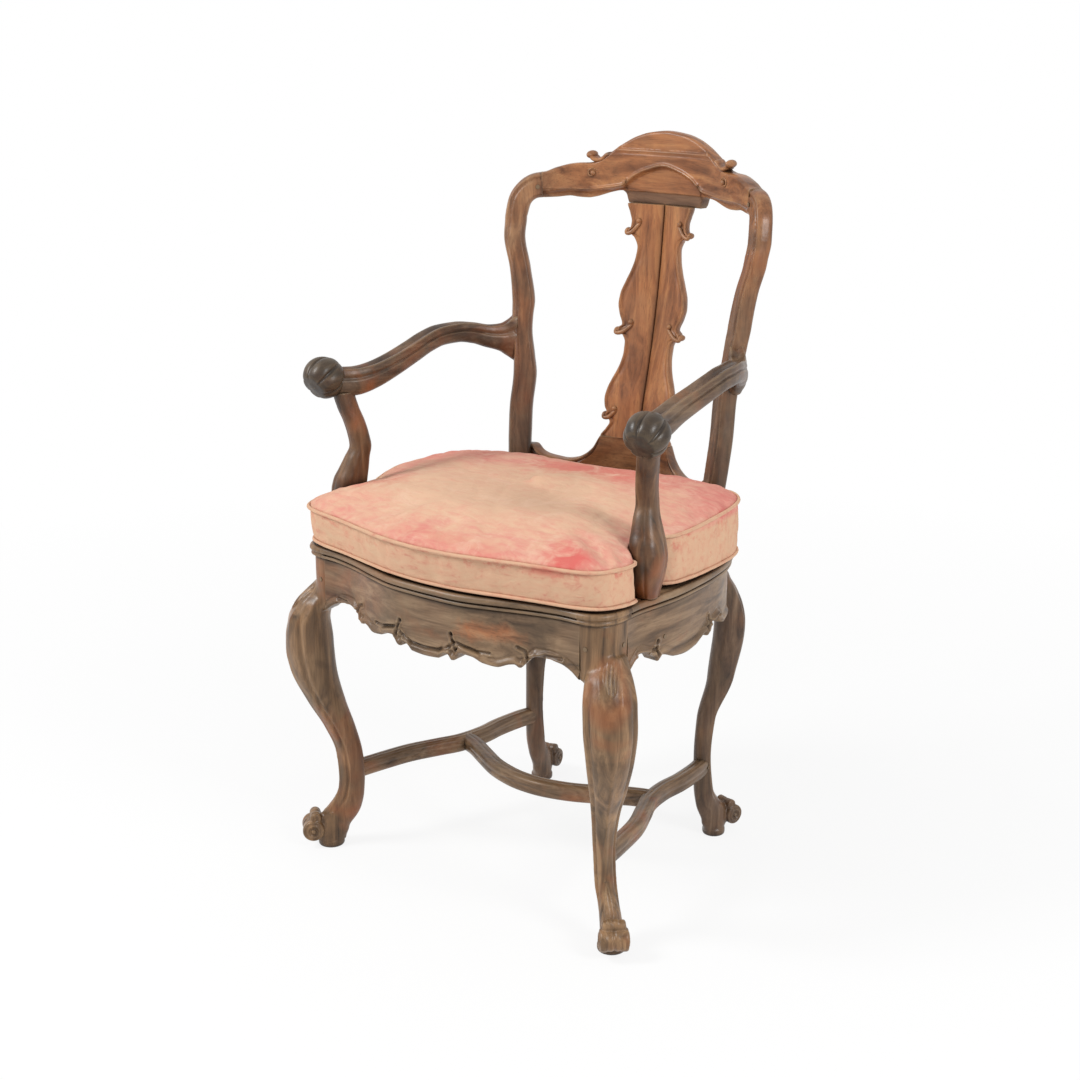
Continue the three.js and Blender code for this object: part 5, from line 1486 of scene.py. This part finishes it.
def make_camera():
    data = bpy.data.cameras.new("camera")
    data.lens = camera_lens
    data.sensor_width = sensor_width
    camera = bpy.data.objects.new("camera", data)
    bpy.context.scene.collection.objects.link(camera)
    turn = rad(camera_turn)
    pitch = rad(camera_pitch)
    back = Vector((math.sin(turn) * math.cos(pitch), -math.cos(turn) * math.cos(pitch), math.sin(pitch)))
    camera.location = camera_place
    camera.rotation_mode = "QUATERNION"
    camera.rotation_quaternion = (-back).to_track_quat("-Z", "Y")
    bpy.context.scene.camera = camera


def make_floor():
    bm = bmesh.new()
    bmesh.ops.create_grid(bm, x_segments=1, y_segments=1, size=40)
    mesh = bpy.data.meshes.new("floor")
    bm.to_mesh(mesh)
    bm.free()
    floor = bpy.data.objects.new("floor", mesh)
    bpy.context.scene.collection.objects.link(floor)
    material, tree, shader = new_material("floor_paint")
    shader.inputs["Base Color"].default_value = (0.9, 0.9, 0.9, 1)
    shader.inputs["Roughness"].default_value = 1.0
    shader.inputs["Specular IOR Level"].default_value = 0.0
    glow = add(tree, "ShaderNodeEmission", {"Color": (1, 1, 1, 1), "Strength": 1.0})
    where = add(tree, "ShaderNodeTexCoord").outputs["Object"]
    away = add(tree, "ShaderNodeVectorMath", {0: where}, operation="LENGTH").outputs["Value"]
    white = times(tree, direct_view(tree), spread(tree, away, 0.5, 2.2, 0.86, 1.0))
    both = add(tree, "ShaderNodeMixShader", {0: white, 1: shader.outputs[0], 2: glow.outputs[0]})
    tree.links.new(both.outputs[0], tree.nodes["Material Output"].inputs["Surface"])
    mesh.materials.append(material)


# 1 for rays from the camera, mirrors and glass, 0 for the light on things
def direct_view(tree):
    path = add(tree, "ShaderNodeLightPath").outputs
    either = add(tree, "ShaderNodeMath", {
        0: path["Is Camera Ray"], 1: path["Is Glossy Ray"],
    }, operation="MAXIMUM").outputs[0]
    return add(tree, "ShaderNodeMath", {0: either, 1: path["Is Transmission Ray"]}, operation="MAXIMUM").outputs[0]


def area_light(name, place, target, size, power):
    data = bpy.data.lights.new(name, "AREA")
    data.size = size
    data.energy = power
    lamp = bpy.data.objects.new(name, data)
    bpy.context.scene.collection.objects.link(lamp)
    lamp.location = place
    lamp.rotation_mode = "QUATERNION"
    lamp.rotation_quaternion = (Vector(target) - Vector(place)).to_track_quat("-Z", "Y")


def make_light():
    world = bpy.data.worlds.new("studio")
    world.use_nodes = True
    tree = world.node_tree
    strength = spread(tree, direct_view(tree), 0.0, 1.0, 0.5, 1.0)
    tree.nodes["Background"].inputs["Color"].default_value = (1, 1, 1, 1)
    tree.links.new(strength, tree.nodes["Background"].inputs["Strength"])
    bpy.context.scene.world = world
    area_light("key", (-1.5, -2.0, 2.6), (0, 0, 0.55), 1.0, 66)
    area_light("fill", (2.6, -0.4, 1.9), (0, 0, 0.6), 0.9, 40)


bpy.context.scene.view_settings.view_transform = "Standard"
make_camera()
make_floor()
make_light()
brown = ("#402E1E", "#755B43", "#9B7F62")
deep = ("#342419", "#5D4533", "#7E654F")
amber = ("#6C4024", "#9E663F", "#BE8554")
walnut = {k: wood("walnut_" + "xyz"[k], k, brown, 0.6, 0.3, 0.5) for k in range(3)}
leg_walnut = wood("leg_walnut", 2, ("#3D2A19", "#7D5F42", "#AB8661"), 0.6, 0.22, 0.36)
apron_walnut = wood("apron_walnut", 0, brown, 0.35, 0.3, 0.45, ("#6E3D20", "#A1613A", "#BA8055", apron_warmth))
arm_walnut = wood("arm_walnut", 1, deep, 0.5, 0.25, 0.6)
post_walnut = wood("post_walnut", 2, ("#2E1E12", "#573821", "#7E5B3E"), 0.75, 0.18, 0.5)
dark_walnut = wood("dark_walnut", 1, ("#21180F", "#3A2E22", "#584938"), 0.15, 0.15, 0.5)
stile_walnut = wood("stile_walnut", 2, deep, 0.3, 0.2, 0.45, (*amber, along_axis("Z", 0.62, 0.98, 0.0, 0.6)))
crest_walnut = wood("crest_walnut", 0, deep, 0.25, 0.1, 0.22, (*amber, crest_warmth_and_arch_shade))
splat_walnut = wood("splat_walnut", 2, deep, 0.25, 0.1, 0.22, (*amber, along_axis("Z", 0.55, 0.62, 0.7, 1.0)))
low_walnut = wood("low_walnut", 0, ("#40281A", "#7D5437", "#9C714C"), 0.4, 0.1, 0.3)
peg_wood = wood("peg_wood", 2, ("#33241A", "#4A3628", "#5E4633"), 0.2, 0.2, 0.4)
velvet = velvet_material()
cane = cane_material()

for name, node in nodes.items():
    finish = walnut[0]
    if name.startswith("peg"):
        finish = peg_wood
    elif name == "cane_seat":
        finish = cane
    for slot in node.material_slots:
        slot.material = finish

voxel = 0.00105


def pair(thing, name, body, material, slot, node_name):
    twin = mirror_copy(thing, name + "_left")
    thing.name = name + "_right"
    if node_name:
        dress(thing, body, material, slot, node_name + "_right")
        dress(twin, body, material, slot, node_name + "_left")
    else:
        dress(thing, body, material, slot)
        dress(twin, body, material, slot)


def build():
    hidden = 0.003
    shell = Shell()
    shell.loft(rail_rings(at_front - hidden, at_side + hidden)).loft(leg_rings(front_leg))
    add_foot(shell, front_leg)
    leg = shell.make("leg", voxel, 1)
    soften(leg, leg_blend(front_leg), 180)
    carve(leg, knee_carving)
    pair(leg, "carved_front_leg", "frame", leg_walnut, "walnut", "front_leg")

    shell = Shell()
    shell.loft(rail_rings(at_rear - hidden, at_back + hidden)).loft(leg_rings(rear_leg)).loft(stile_rings())
    add_foot(shell, rear_leg)
    post = shell.make("post", voxel, 1)
    soften(post, leg_blend(rear_leg), 100)
    along = crest_axes(crest_half_length)[0]
    end = Vector((crest_half_length, back_y(crest_half_length, crest_base), 0)) + along * gap
    cut_beyond(post, end, -along, crest_base - crest_height / 2)
    pair(post, "carved_rear_post", "frame", stile_walnut, "walnut", "rear_post")

    left = rail_rings(0, at_front, side=-1)
    right = rail_rings(0, at_front)
    front = sharpen(Shell().loft(list(reversed(left)) + right[1:]).make("carved_front_rail"), 60)
    dress(front, "frame", apron_walnut, "walnut", "front_rail")
    side = sharpen(Shell().loft(rail_rings(at_side, at_rear)).make("side"), 60)
    pair(side, "carved_side_rail", "frame", walnut[1], "walnut", "side_rail")

    dress(make_crest(), "frame", crest_walnut, "warm_walnut", "crest_rail")
    dress(make_splat(), "frame", splat_walnut, "warm_walnut", "splat")
    dress(make_low_rail(), "frame", low_walnut, "walnut", "low_back_rail")
    pair(make_arm(), "carved_arm", "frame", arm_walnut, "walnut", "arm")
    pair(make_knuckle(), "knuckle", "frame", dark_walnut, "walnut", None)
    pair(make_arm_post(), "carved_arm_post", "frame", post_walnut, "walnut", "arm_post")
    side_points, cross_points = stretcher_points()
    bar = Shell().loft(stretcher_rings(side_points)).make("bar")
    pair(bar, "carved_stretcher", "frame", walnut[1], "walnut", "stretcher")
    cross = Shell().loft(stretcher_rings(cross_points)).make("carved_cross_stretcher")
    dress(cross, "frame", walnut[0], "walnut", "cross_stretcher")

    cushion = make_cushion()
    dress(cushion, "cushion", velvet, "velvet", "cushion")
    welts = make_welts()
    dress(welts, "cushion", velvet_material("velvet_welt", True), "velvet")


build()
